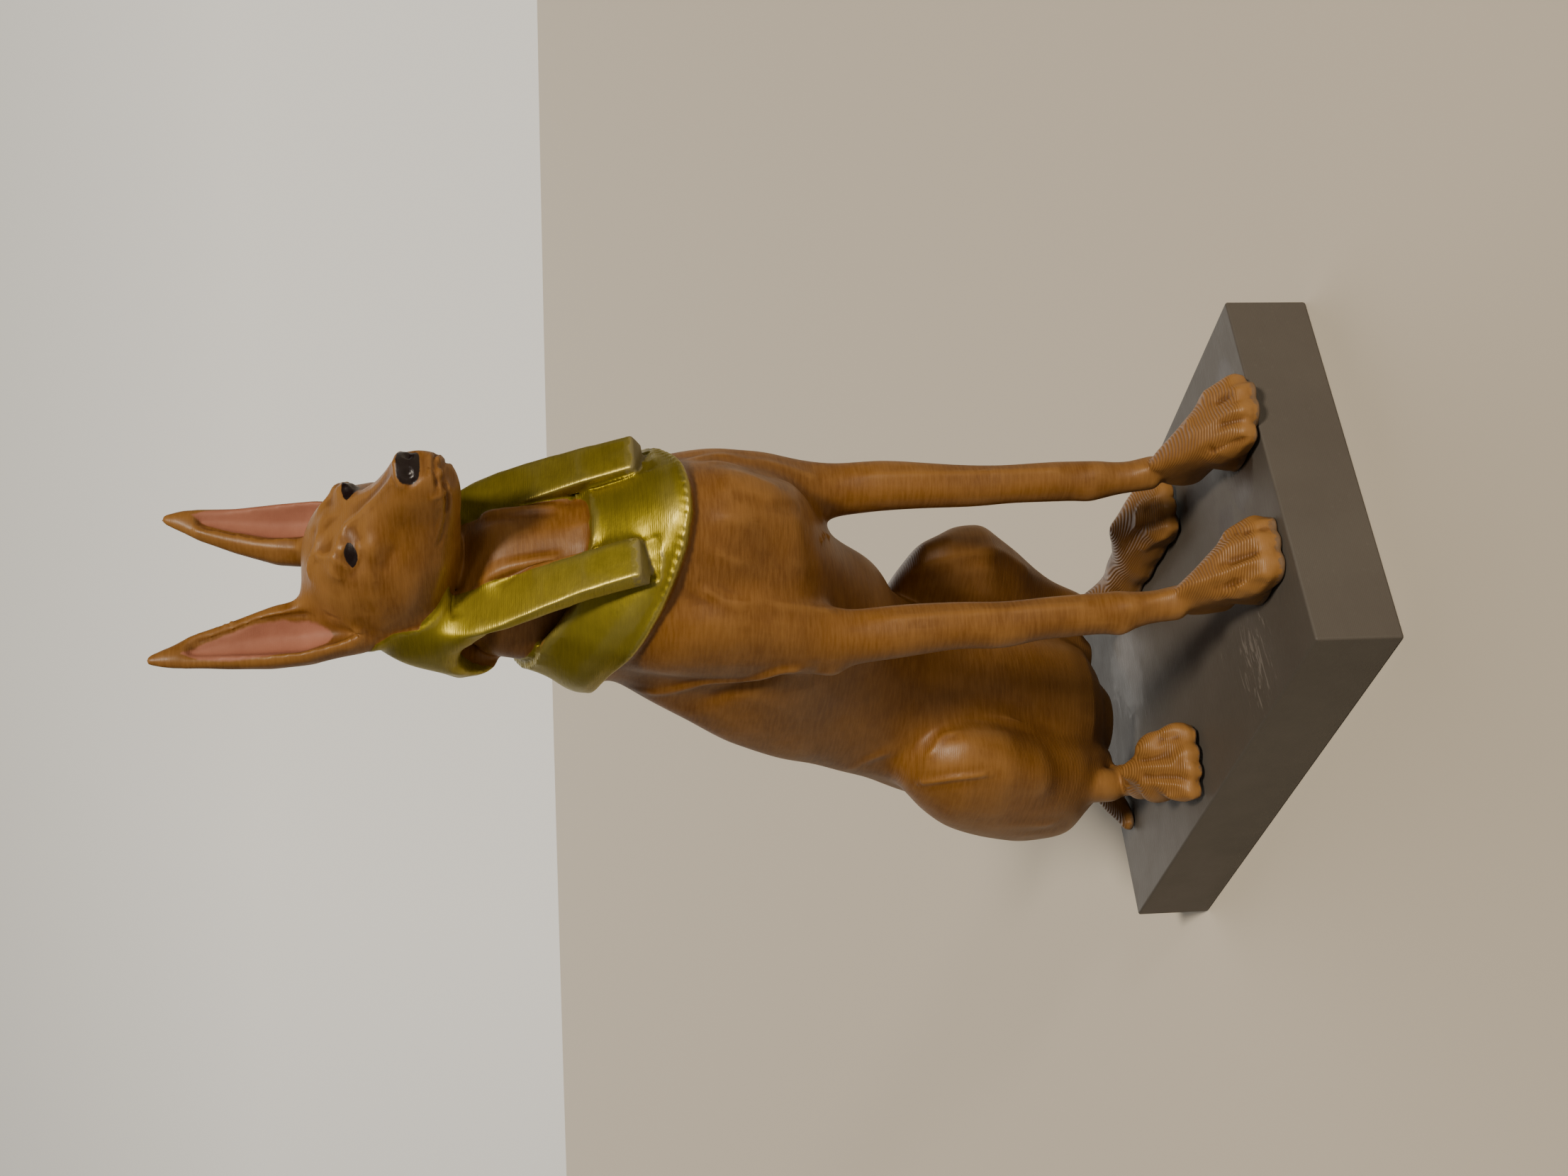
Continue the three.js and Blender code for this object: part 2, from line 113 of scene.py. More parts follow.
class Clay:
    """A dense mesh held as arrays in millimetres, worked by soft brushes."""

    def __init__(self, mesh, pitch):
        self.mesh = mesh
        self.pitch = pitch
        flat = np.empty(len(mesh.vertices) * 3)
        mesh.vertices.foreach_get("co", flat)
        self.points = flat.reshape(-1, 3)
        ends = np.empty(len(mesh.edges) * 2, int)
        mesh.edges.foreach_get("vertices", ends)
        self.ends = ends.reshape(-1, 2)
        self.joined = np.bincount(ends, minlength=len(self.points)).astype(float)

    def write(self):
        self.mesh.vertices.foreach_set("co", self.points.ravel())
        self.mesh.update()

    def normals(self):
        self.write()
        flat = np.empty(len(self.points) * 3)
        self.mesh.vertex_normals.foreach_get("vector", flat)
        return flat.reshape(-1, 3)

    def patch(self, weight):
        """The vertices that a weight touches, and the edges that meet them, numbered afresh."""
        touched = weight > 1e-3
        ends = self.ends[touched[self.ends].any(1)]
        spots, ends = np.unique(ends, return_inverse=True)
        return spots, ends.reshape(-1, 2), weight[spots][:, None] * touched[spots][:, None]

    def mean(self, values, ends=None, joined=None):
        """Each vertex's mean over its neighbours."""
        a, b = (self.ends if ends is None else ends).T
        joined = self.joined if joined is None else joined
        total = np.empty_like(values)
        for axis in range(values.shape[1]):
            column = values[:, axis]
            total[:, axis] = np.bincount(a, column[b], len(column)) + np.bincount(b, column[a], len(column))
        return total / joined[:, None]

    def settle(self, weight, passes):
        """Smooths away facets, and gives back the bulk that smoothing takes."""
        spots, ends, share = self.patch(weight)
        start = self.points[spots]
        joined = self.joined[spots]
        points = start.copy()
        for _ in range(self.count(passes)):
            points += share * (self.mean(points, ends, joined) - points)
        lost = start - points
        for _ in range(self.count(passes)):
            lost += share * (self.mean(lost, ends, joined) - lost)
        self.points[spots] = points + lost

    def count(self, passes):
        """Passes for this clay's pitch, counted at the fine one."""
        return max(2, round(passes * (FINE_PITCH / self.pitch) ** 2))

    def near_spot(self, centre, radius, sides=BOTH):
        """A soft weight round a point."""
        weight = np.zeros(len(self.points))
        for side in sides:
            gap = self.points - np.array([centre[0] * side, centre[1], centre[2]])
            weight = np.maximum(weight, np.exp(-np.einsum("ij,ij->i", gap, gap) / radius ** 2))
        return weight

    def fill(self, weight, passes, limit):
        """Rounds out inner corners, and leaves everything that bulges."""
        spots, ends, share = self.patch(weight)
        start = self.points[spots]
        normals = self.normals()[spots]
        joined = self.joined[spots]
        free = share > 0
        points = start.copy()
        for _ in range(self.count(passes)):
            points += free * (self.mean(points, ends, joined) - points)
        rise = np.einsum("ij,ij->i", points - start, normals)
        rise = np.clip(rise, 0, limit) * share[:, 0]
        self.points[spots] = start + normals * rise[:, None]

    def near(self, path, reach):
        """The vertices that a brush can touch."""
        low = path.min(0) - reach
        high = path.max(0) + reach
        return np.nonzero(np.all((self.points > low) & (self.points < high), 1))[0]

    def stroke(self, path, width, height, sides=BOTH, taper=True):
        """Raises a ridge along a path, or sinks a groove where the height is under zero."""
        normals = self.normals()
        for side in sides:
            line = smooth_path([(x * side, y, z) for x, y, z in path])
            spots = self.near(line, width * 2.6)
            reach = path_distance(self.points[spots], line)
            lift = height * np.exp(-((reach / width) ** 2))
            if taper and len(line) > 3:
                start = np.linalg.norm(self.points[spots] - line[0], axis=1)
                end = np.linalg.norm(self.points[spots] - line[-1], axis=1)
                lift *= soft_step(np.minimum(start, end), 0, width * 2.2) * 0.75 + 0.25
            self.points[spots] += normals[spots] * lift[:, None]

    def press(self, centre, radii, height, sides=BOTH, turn=0.0):
        """Raises or sinks a soft oval. The turn swings its long way about Z, in degrees."""
        normals = self.normals()
        for side in sides:
            middle = np.array([centre[0] * side, centre[1], centre[2]])
            spots = self.near(middle[None], max(radii) * 2.2)
            gap = self.points[spots] - middle
            angle = math.radians(turn * side)
            along = gap[:, 0] * math.cos(angle) + gap[:, 1] * math.sin(angle)
            depth = -gap[:, 0] * math.sin(angle) + gap[:, 1] * math.cos(angle)
            spread = (along / radii[0]) ** 2 + (depth / radii[1]) ** 2 + (gap[:, 2] / radii[2]) ** 2
            self.points[spots] += normals[spots] * (height * np.exp(-spread))[:, None]

    def pull(self, centre, radius, move, sides=BOTH):
        """Drags a soft round patch by a vector."""
        for side in sides:
            middle = np.array([centre[0] * side, centre[1], centre[2]])
            spots = self.near(middle[None], radius * 2.2)
            reach = np.linalg.norm(self.points[spots] - middle, axis=1)
            shift = np.array([move[0] * side, move[1], move[2]])
            self.points[spots] += np.exp(-((reach / radius) ** 2))[:, None] * shift


# ---------------------------------------------------------------- where each paint goes

COLLAR_FOOT = {"y": -15.0, "z": 74.9, "lean": 17.0}
COLLAR_RIM = {"y": -15.6, "z": 84.5, "lean": 22.5}
COLLAR_MIDDLE = 15.2
COLLAR_EDGE = [
    (-180, 80.2), (-160, 80.2), (-140, 80.0), (-125, 79.6), (-110, 78.9), (-98, 78.0), (-83, 76.6), (-67, 75.2),
    (-55, 74.0), (-46, 72.9), (-35, 71.8), (-21, 70.5), (-9, 69.85), (0, 69.9), (10, 70.4), (21, 71.2), (35, 72.3),
    (46, 73.3), (55, 74.3), (67, 75.4), (83, 76.7), (98, 78.0), (110, 78.9), (125, 79.6), (140, 80.0), (160, 80.2),
    (180, 80.2),
]
LAPPET_LINE = [(-29.2, 73.6), (-26.7, 80.6), (-24.6, 85.0), (-22.5, 88.9), (-20.6, 92.6), (-18.4, 96.0)]
LAPPET_IN, LAPPET_OUT = 4.25, 9.75
HOOD_SIDE = [
    (-22.0, 90.6), (-21.8, 93.0), (-21.0, 94.4), (-19.4, 96.5), (-18.5, 97.9), (-18.0, 100.4), (-16.6, 102.4),
    (-14.6, 103.4),
    (-9.0, 103.4), (2.0, 101.0), (2.0, 87.4), (-12.0, 87.4),
]
NECK_MIDDLE, NECK_RADIUS = 13.6, 8.35
EAR_PINK = [
    (8.5, 122.2), (7.4, 120.4), (6.3, 117.6), (5.4, 114.8), (5.0, 112.0), (5.3, 109.4), (6.0, 107.6), (6.9, 106.8),
    (7.8, 107.4), (8.6, 109.9), (9.3, 113.2), (9.5, 117.0), (9.2, 120.4),
]
EYES = ((-1, (4.15, -27.4, 104.2), 1.4, 0.68), (1, (3.6, -28.2, 104.3), 2.1, 0.9))
EYE_TURN = -43.0
BARE_PATCH = np.array([9.3, -29.3, 73.4])
BARE_PATCH_SIZE = np.array([0.9, 1.2, 0.8])
NOSE = {"z": 98.05, "wide": 1.9, "high": 1.15, "y": -35.9}


def collar_angle(points):
    """Degrees round the neck from the front, under zero on the figure's right."""
    return np.degrees(np.arctan2(points[:, 0], -(points[:, 1] + COLLAR_MIDDLE)))


def rim_height(points):
    """Height of the collar's lower rim all the way round."""
    return np.interp(collar_angle(points), *zip(*COLLAR_EDGE))


def leaning_plane(points, plane):
    """Height over a plane that tips down towards the front."""
    return points[:, 2] - plane["z"] - math.tan(math.radians(plane["lean"])) * (points[:, 1] - plane["y"])


def collar_field(points):
    x, y, z = points.T
    level = np.clip((leaning_plane(points, COLLAR_FOOT)) / 10.0, 0, 1)
    wide = 12.0 - 2.4 * level
    front = 18.6 - 5.8 * level
    back = 14.6 - 2.8 * level
    deep = np.where(y < -15.2, front, back)
    round_about = np.sqrt((x / wide) ** 2 + ((y + 15.2) / deep) ** 2)
    over_foot = z - rim_height(points)
    under_rim = 1.1 - leaning_plane(points, COLLAR_RIM)
    return np.minimum(np.minimum(over_foot, under_rim), (round_about - 0.82) * 9)


def lappet_field(points):
    x, y, z = points.T
    line = smooth_path([(a, b) for a, b in LAPPET_LINE])
    reach = 1.72 - path_distance(np.stack([y, z], 1), line)
    width = np.minimum(np.abs(x) - LAPPET_IN, LAPPET_OUT - np.abs(x))
    return np.minimum(reach, width)


def hood_field(points):
    x, y, z = points.T
    inside = outline_distance(y, z, HOOD_SIDE)
    wide = np.abs(x) - np.where(z < 94.6, 6.95, 4.6)
    behind = np.where(z < 94.6, y + 8.4, y + 14.0)
    neck = np.hypot(x, y + NECK_MIDDLE) - NECK_RADIUS
    beside = np.where(z < 92.0, neck, 2.0)
    return np.minimum(np.minimum(inside, beside), np.maximum(wide, behind))


def cloth_field(points):
    return np.maximum(np.maximum(collar_field(points), lappet_field(points)), hood_field(points))


def pink_field(points, normals):
    x, y, z = points.T
    shift = np.interp(z, (105.0, 112.0, 118.0), (1.5, 0.9, 0.2))
    inside = outline_distance(np.where(x > 0, x - shift, -x), z, EAR_PINK)
    facing = 0.5 - normals[:, 1]
    return np.minimum(np.minimum(inside, facing * 4), (y + 18.7) * 1.5)


def black_field(points):
    x, y, z = points.T
    eyes = np.full(len(x), -2.0)
    for side, (cx, cy, cz), half, high in EYES:
        angle = math.radians(EYE_TURN)
        along = (x * side - cx) * math.cos(angle) - (y - cy) * math.sin(angle)
        deep = (x * side - cx) * math.sin(angle) + (y - cy) * math.cos(angle)
        lid = high * (1 - (along / half) ** 2)
        eyes = np.maximum(eyes, np.minimum(lid - np.abs(z - cz + 0.1 * along), 1.4 - np.abs(deep)))
    square = ((np.abs(x) / NOSE["wide"]) ** 4 + (np.abs(z - NOSE["z"]) / NOSE["high"]) ** 4) ** 0.25
    nose = np.minimum((1 - square) * NOSE["high"], NOSE["y"] - y)
    return np.maximum(eyes, nose)


# ---------------------------------------------------------------- the figure


def merged_copy(node, name):
    """A CAD node's mesh with its doubles merged, in millimetres."""
    work = bmesh.new()
    work.from_mesh(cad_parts[node].data)
    bmesh.ops.remove_doubles(work, verts=work.verts, dist=1e-6)
    bmesh.ops.scale(work, vec=(PER_MM,) * 3, verts=work.verts)
    mesh = bpy.data.meshes.new(name)
    work.to_mesh(mesh)
    work.free()
    return mesh


def with_modifier(mesh, kind, **settings):
    """The mesh after one modifier."""
    holder = bpy.data.objects.new(mesh.name + "_work", mesh)
    bpy.context.scene.collection.objects.link(holder)
    modifier = holder.modifiers.new(kind.title(), kind)
    for key, value in settings.items():
        setattr(modifier, key, value)
    depsgraph = bpy.context.evaluated_depsgraph_get()
    done = bpy.data.meshes.new_from_object(holder.evaluated_get(depsgraph))
    bpy.data.objects.remove(holder)
    return done


def soften_figure(clay):
    """Takes the facets off the animal, and rounds the joins of its limbs. The cloth keeps its edges."""
    cloth = cloth_field(clay.points)
    skin = soft_step(-cloth, 0.1, 1.1)
    x, y, z = clay.points.T
    ears = soft_step(z, 106.5, 109.5)
    paws = 1 - soft_step(z, 17.0, 21.0)
    face = soft_step(z, 92, 94) * (1 - ears)
    body = skin * (1 - ears) * (1 - paws) * (1 - face)
    clay.fill(body, 110, 1.2)
    clay.fill(body, 40, 0.8)
    clay.fill(skin * (face + paws), 14, 0.45)
    clay.settle(body, 60)
    clay.settle(skin * (1 - ears) * (1 - paws * 0.4), 14)
    clay.settle(skin * ears, 8)
    clay.settle(np.clip(1 - skin, 0.0, 1.0) * 0.6 + 0.2, 3)


def collar_rise(points):
    """How much higher the collar's foot sits at its sides than in the solid, in millimetres."""
    heights = [(0, 0.0), (25, 0.0), (35, 0.2), (46, 0.7), (55, 1.5), (67, 1.9), (83, 2.2), (98, 2.6), (110, 2.5),
               (130, 1.8), (160, 1.0), (180, 0.8)]
    return np.interp(np.abs(collar_angle(points)), *zip(*heights))


def shape_cloth(clay):
    """Slims the straps, blends them into the hood, and lifts the sides of the collar."""
    x, y, z = clay.points.T
    level = leaning_plane(clay.points, COLLAR_FOOT)
    band = soft_step(level, -7.0, -0.5) * (1 - soft_step(level, 2.2, 8.5))
    torso = (y < 2.0) & (level > -8) & (level < 9)
    strap = lappet_field(clay.points) > -0.35
    clay.points[:, 2] += np.where(torso & ~strap, band * collar_rise(clay.points), 0.0)
    clay.pull((9.0, -16.5, 84.4), 4.0, (0.0, 0.0, 1.0))

    x, y, z = clay.points.T
    line = np.array(LAPPET_LINE)
    middle_y = np.interp(z, line[:, 1], line[:, 0])
    along = np.gradient(line[:, 0], line[:, 1])
    tilt = np.arctan(np.interp(z, line[:, 1], along))
    depth = (y - middle_y) * np.cos(tilt)
    slim = 0.6 + (np.clip(z, 74, 96) - 75) * 0.0765
    inside = (np.abs(x) > LAPPET_IN - 0.5) & (np.abs(x) < LAPPET_OUT + 0.5) & (z > 72) & (z < 99)
    band = inside * soft_step(2.2 - np.abs(depth), 0, 0.6) * (1 - soft_step(z, 95, 99))
    back = slim * np.clip((1.5 - depth) / 3.0, 0, 1) * band
    clay.points[:, 1] += back / np.cos(tilt)
    inner = (x < 0) * band * soft_step(LAPPET_IN + 1.2 - np.abs(x), 0, 1.2)
    clay.points[:, 0] += inner * 0.7

    blend = clay.near_spot((6.6, -19.8, 94.4), 4.4)
    clay.fill(blend, 260, 1.6)
    clay.settle(blend, 90)
    clay.fill(clay.near_spot((6.6, -13.5, 91.2), 2.6), 220, 1.2)
    clay.fill(clay.near_spot((4.8, -24.2, 81.0), 1.3), 160, 1.0)
    clay.pull((7.6, -12.6, 100.6), 3.8, (0.75, 0.45, 0.0))
    side = clay.near_spot((8.4, -15.8, 98.0), 4.6) * soft_step(hood_field(clay.points), -1.2, 0.2)
    clay.fill(side, 200, 0.9)
    clay.settle(side, 260)
    shape_collar(clay)
    cloth = hood_field(clay.points)
    edge = clay.near_spot((7.0, -18.5, 97.5), 8.0) * soft_step(clay.points[:, 2], 92.5, 95.5)
    lift = 0.32 * soft_step(cloth, -0.1, 0.2) * edge
    clay.points += clay.normals() * lift[:, None]


def shape_collar(clay):
    """Evens the collar's sides, rolls its lower rim and sets the chest back under it."""
    x, y, z = clay.points.T
    strap = (lappet_field(clay.points) > -0.25) & ((z > 73.3) | (clay.normals()[:, 2] < -0.35))
    over = z - rim_height(clay.points)
    round_about = np.hypot(x / 12.0, (y + COLLAR_MIDDLE) / np.where(y < -COLLAR_MIDDLE, 18.6, 14.6))
    shell = (round_about > 0.66) & (round_about < 1.35) & ~strap & (z > 66) & (z < 92)
    band = soft_step(over, -5.0, -3.5) * (1 - soft_step(leaning_plane(clay.points, COLLAR_RIM), -1.6, -0.6)) * shell
    clay.fill(band, 120, 0.8)
    clay.settle(band, 130)
    bib = clay.near_spot((0.0, -29.0, 75.0), 5.2, FAR) * shell * soft_step(over, 0.8, 2.0)
    clay.settle(bib, 400)
    below = clay.near_spot((6.4, -28.6, 72.2), 3.0) * shell * (1 - soft_step(z, 73.2, 74.2))
    clay.fill(below, 200, 1.0)
    clay.settle(below, 300)

    x, y, z = clay.points.T
    outward = np.stack([x, (y + COLLAR_MIDDLE) * 0.8, np.zeros(len(x))], 1)
    outward /= np.linalg.norm(outward, axis=1)[:, None] + 1e-9
    facing = soft_step(np.einsum("ij,ij->i", clay.normals(), outward), 0.1, 0.5) * shell
    over = z - rim_height(clay.points)
    front = 1 - 0.55 * soft_step(np.abs(collar_angle(clay.points)), 45.0, 75.0)
    roll = 0.34 * front * np.exp(-(((over - 0.35) / 0.42) ** 2))
    raised = 0.3 * front * soft_step(over, -0.12, 0.12) * (1 - soft_step(over, 1.0, 6.0))
    sunk = -0.55 * soft_step(-over, 0.0, 0.35) * (1 - soft_step(-over, 0.8, 4.5))
    around = collar_angle(clay.points)
    twist = 0.1 * np.sin(around * 1.9 - over * 5.0) * np.exp(-(((over - 0.4) / 0.6) ** 2))
    twist *= 1 - soft_step(np.abs(around), 38.0, 55.0)
    clay.points += outward * (facing * (roll + raised + sunk + twist))[:, None]


def carve_head(clay):
    clay.fill(clay.near_spot((3.6, -18.6, 109.4), 2.4), 120, 1.0)
    clay.settle(clay.near_spot((2.4, -19.6, 109.6), 2.6), 160)
    clay.settle(clay.near_spot((0.0, -24.0, 108.4), 4.2, FAR), 80)
    clay.press((4.4, -27.0, 104.3), (2.2, 2.2, 1.6), -0.55, NEAR)
    clay.press((4.4, -27.0, 104.3), (2.0, 2.0, 1.4), -0.15, FAR)
    clay.press((2.9, -28.9, 103.8), (1.2, 1.4, 1.0), -0.3, NEAR)
    clay.pull((4.2, -29.0, 102.4), 2.0, (-0.7, 0.45, 0.0), FAR)
    clay.pull((5.4, -26.9, 101.8), 2.5, (-0.75, 0.46, 0.0), FAR)
    # the flat forehead with its sharp front, and the brows
    clay.stroke([(-4.4, -22.2, 109.2), (-3.0, -23.6, 108.7), (-1.8, -25.6, 107.8), (0.3, -26.2, 107.5),
                 (1.4, -26.6, 107.2)], 0.42, 0.3, FAR)
    clay.stroke([(2.4, -25.2, 107.9), (3.4, -25.9, 107.4), (4.1, -27.1, 106.4), (4.8, -26.9, 105.6),
                 (5.1, -26.4, 104.8)], 0.4, 0.34)
    clay.press((2.3, -26.9, 106.4), (1.3, 1.2, 0.9), -0.22)
    clay.press((5.4, -24.6, 106.4), (1.6, 1.8, 1.2), -0.28)
    clay.settle(clay.near_spot((0.8, -26.2, 107.4), 2.0, FAR), 16)
    clay.stroke([(0, -24.0, 108.8), (0, -26.6, 107.0), (0, -28.8, 105.0)], 0.7, -0.14, FAR)
    # the ridges of the bridge and the flat between them
    bridge = [(2.5, -28.2, 105.2), (1.5, -28.8, 104.6), (1.25, -30.1, 103.4), (0.8, -31.6, 102.0),
              (0.8, -34.0, 100.6), (1.1, -36.2, 99.4)]
    clay.stroke([(-x, y, z) for x, y, z in bridge], 0.38, 0.3, FAR)
    clay.stroke(bridge, 0.4, 0.14, FAR)
    clay.press((3.6, -30.6, 101.2), (1.4, 2.6, 1.6), -0.34)
    clay.stroke([(7.0, -22.0, 102.4), (6.0, -25.6, 102.4), (4.9, -28.0, 102.2)], 1.0, 0.26)
    clay.press((6.4, -23.0, 98.6), (2.2, 3.2, 2.2), 0.34)
    clay.stroke([(6.4, -25.6, 102.0), (5.4, -27.2, 101.0), (4.6, -28.6, 100.0), (4.0, -30.4, 98.8)], 1.1, -0.36)
    clay.press((4.1, -28.9, 102.0), (1.0, 1.4, 0.8), 0.22)
    # eyeballs and lids
    clay.press((4.2, -27.5, 104.2), (1.1, 1.1, 0.62), 0.34, NEAR)
    clay.press((4.3, -27.9, 104.3), (1.3, 1.3, 0.9), 0.75, FAR)
    upper = [(5.3, -26.2, 104.5), (4.5, -27.2, 105.1), (3.8, -28.1, 104.95), (3.0, -28.7, 104.2)]
    lower = [(5.2, -26.4, 104.1), (4.6, -27.5, 103.4), (3.8, -28.2, 103.35), (3.05, -28.7, 103.9)]
    clay.stroke(upper, 0.24, 0.3)
    clay.stroke(lower, 0.26, 0.2)
    clay.stroke([(3.9, -28.3, 102.9), (3.4, -28.6, 102.5)], 0.3, 0.2)
    # nose pad, nostrils and lips
    clay.pull((0, -37.0, 99.0), 1.3, (0.0, -0.4, 0.15), FAR)
    clay.pull((0, -36.9, 96.0), 1.5, (0.0, 0.35, 0.0), FAR)
    clay.stroke([(2.0, -36.2, 98.8), (1.1, -36.9, 99.2), (0, -37.2, 99.2)], 0.36, 0.24, taper=False)
    clay.stroke([(2.1, -36.2, 98.4), (2.0, -36.6, 97.6), (1.4, -37.0, 97.0), (0, -37.3, 96.9)], 0.3, -0.22)
    clay.press((1.15, -37.3, 98.0), (0.5, 0.6, 0.4), -0.55)
    clay.stroke([(1.3, -37.3, 97.9), (1.9, -36.7, 97.7)], 0.25, -0.3, taper=False)
    clay.stroke([(0, -37.4, 98.6), (0, -37.5, 97.6), (0, -37.3, 96.2)], 0.22, -0.18, FAR, taper=False)
    mouth = [(4.1, -28.4, 95.5), (3.4, -30.4, 94.9), (2.8, -32.7, 94.4), (2.1, -34.8, 94.2), (1.2, -36.0, 94.4),
             (0, -36.4, 94.6)]
    clay.stroke(mouth[:4], 0.3, -0.1)
    clay.stroke(mouth[2:], 0.26, -0.34, taper=False)
    # furrows in the lips, crossed by rough spots
    for lift, height in ((0.5, 0.14), (0.95, -0.16), (1.35, 0.16), (1.75, -0.12), (-0.45, 0.2), (-0.85, -0.16)):
        front = [(2.7, -33.6, 94.5 + lift), (2.1, -35.4, 94.4 + lift), (1.2, -36.6, 94.5 + lift), (0, -37.0, 94.6 + lift)]
        clay.stroke(front, 0.2, height)
    for lift, height in ((0.45, 0.08), (0.85, -0.08), (-0.5, 0.08), (-0.95, -0.08)):
        clay.stroke([(px, py, pz + lift) for px, py, pz in mouth[:4]], 0.24, height)
    dice = np.random.default_rng(7)
    for _ in range(64):
        across, up = dice.uniform(-2.4, 2.4), dice.uniform(93.2, 96.3)
        spot = (across, -36.8 + 0.32 * across ** 2 + 0.5 * abs(up - 95.4), up)
        clay.press(spot, (0.34, 0.34, 0.22), dice.uniform(-0.28, 0.34), FAR)
    clay.pull((0, -35.6, 93.6), 1.6, (0.0, 0.5, 0.2), FAR)
    for across, up in ((-1.5, 93.2), (-0.7, 93.0), (-2.2, 93.3), (0.6, 93.1)):
        clay.stroke([(across, -34.6, up + 0.2), (across - 0.1, -33.8, up - 0.1)], 0.22, 0.35, FAR)
    clay.stroke([(6.6, -20.5, 97.0), (5.8, -24.0, 95.4), (4.2, -27.5, 94.4)], 0.9, 0.16)


def carve_ears(clay):
    clay.pull((9.0, -15.6, 124.6), 1.6, (0.0, 0.0, 0.75), NEAR)
    clay.pull((9.0, -15.6, 124.6), 1.6, (0.0, 0.0, 0.3), FAR)
    clay.press((8.9, -15.6, 123.0), (1.2, 1.0, 1.5), 0.24)
    outer = [(8.7, -17.6, 105.2), (9.6, -16.6, 109.0), (9.95, -16.0, 113.5), (9.9, -15.7, 118.5), (9.2, -15.5, 122.6)]
    inner = [(4.6, -18.6, 106.0), (3.3, -17.6, 109.5), (3.9, -16.8, 114.0), (5.2, -16.3, 118.4), (7.2, -15.8, 122.2)]
    hollow = [(7.4, -16.0, 121.2), (6.1, -16.3, 117.2), (5.2, -16.8, 114.5), (4.9, -17.0, 111.7), (5.0, -17.4, 108.9)]
    clay.stroke(outer, 0.55, 0.12)
    clay.stroke(inner, 0.5, 0.16)
    clay.stroke(hollow, 0.4, -0.3)
    clay.stroke([(8.9, -17.5, 104.8), (8.3, -18.0, 104.2), (7.4, -18.4, 104.0), (6.5, -18.8, 104.6)], 0.6, 0.42)
    clay.stroke([(5.9, -18.6, 107.6), (6.2, -19.0, 106.0), (6.4, -19.2, 104.8)], 0.4, -0.2)
    clay.stroke([(7.9, -15.6, 119.6), (7.0, -15.5, 115.0), (6.3, -15.7, 110.5)], 0.45, 0.16)
    clay.fill(clay.near_spot((8.2, -17.2, 102.6), 2.2), 120, 0.9)
    for height in (117.2, 117.9, 118.8, 120.4):
        inward = 3.9 + (height - 114.0) * 0.3
        clay.press((inward + 0.2, -16.4, height), (0.25, 0.25, 0.2), 0.3, NEAR)


def carve_neck(clay):
    clay.stroke([(4.4, -20.6, 92.8), (3.5, -23.2, 88.4), (3.1, -24.8, 82.6)], 0.6, 0.34)
    clay.stroke([(2.6, -22.6, 91.6), (2.3, -24.0, 87.6), (2.2, -25.0, 83.6)], 0.6, -0.12)
    clay.press((0, -24.6, 87.0), (1.8, 2.0, 5.0), 0.25, FAR)


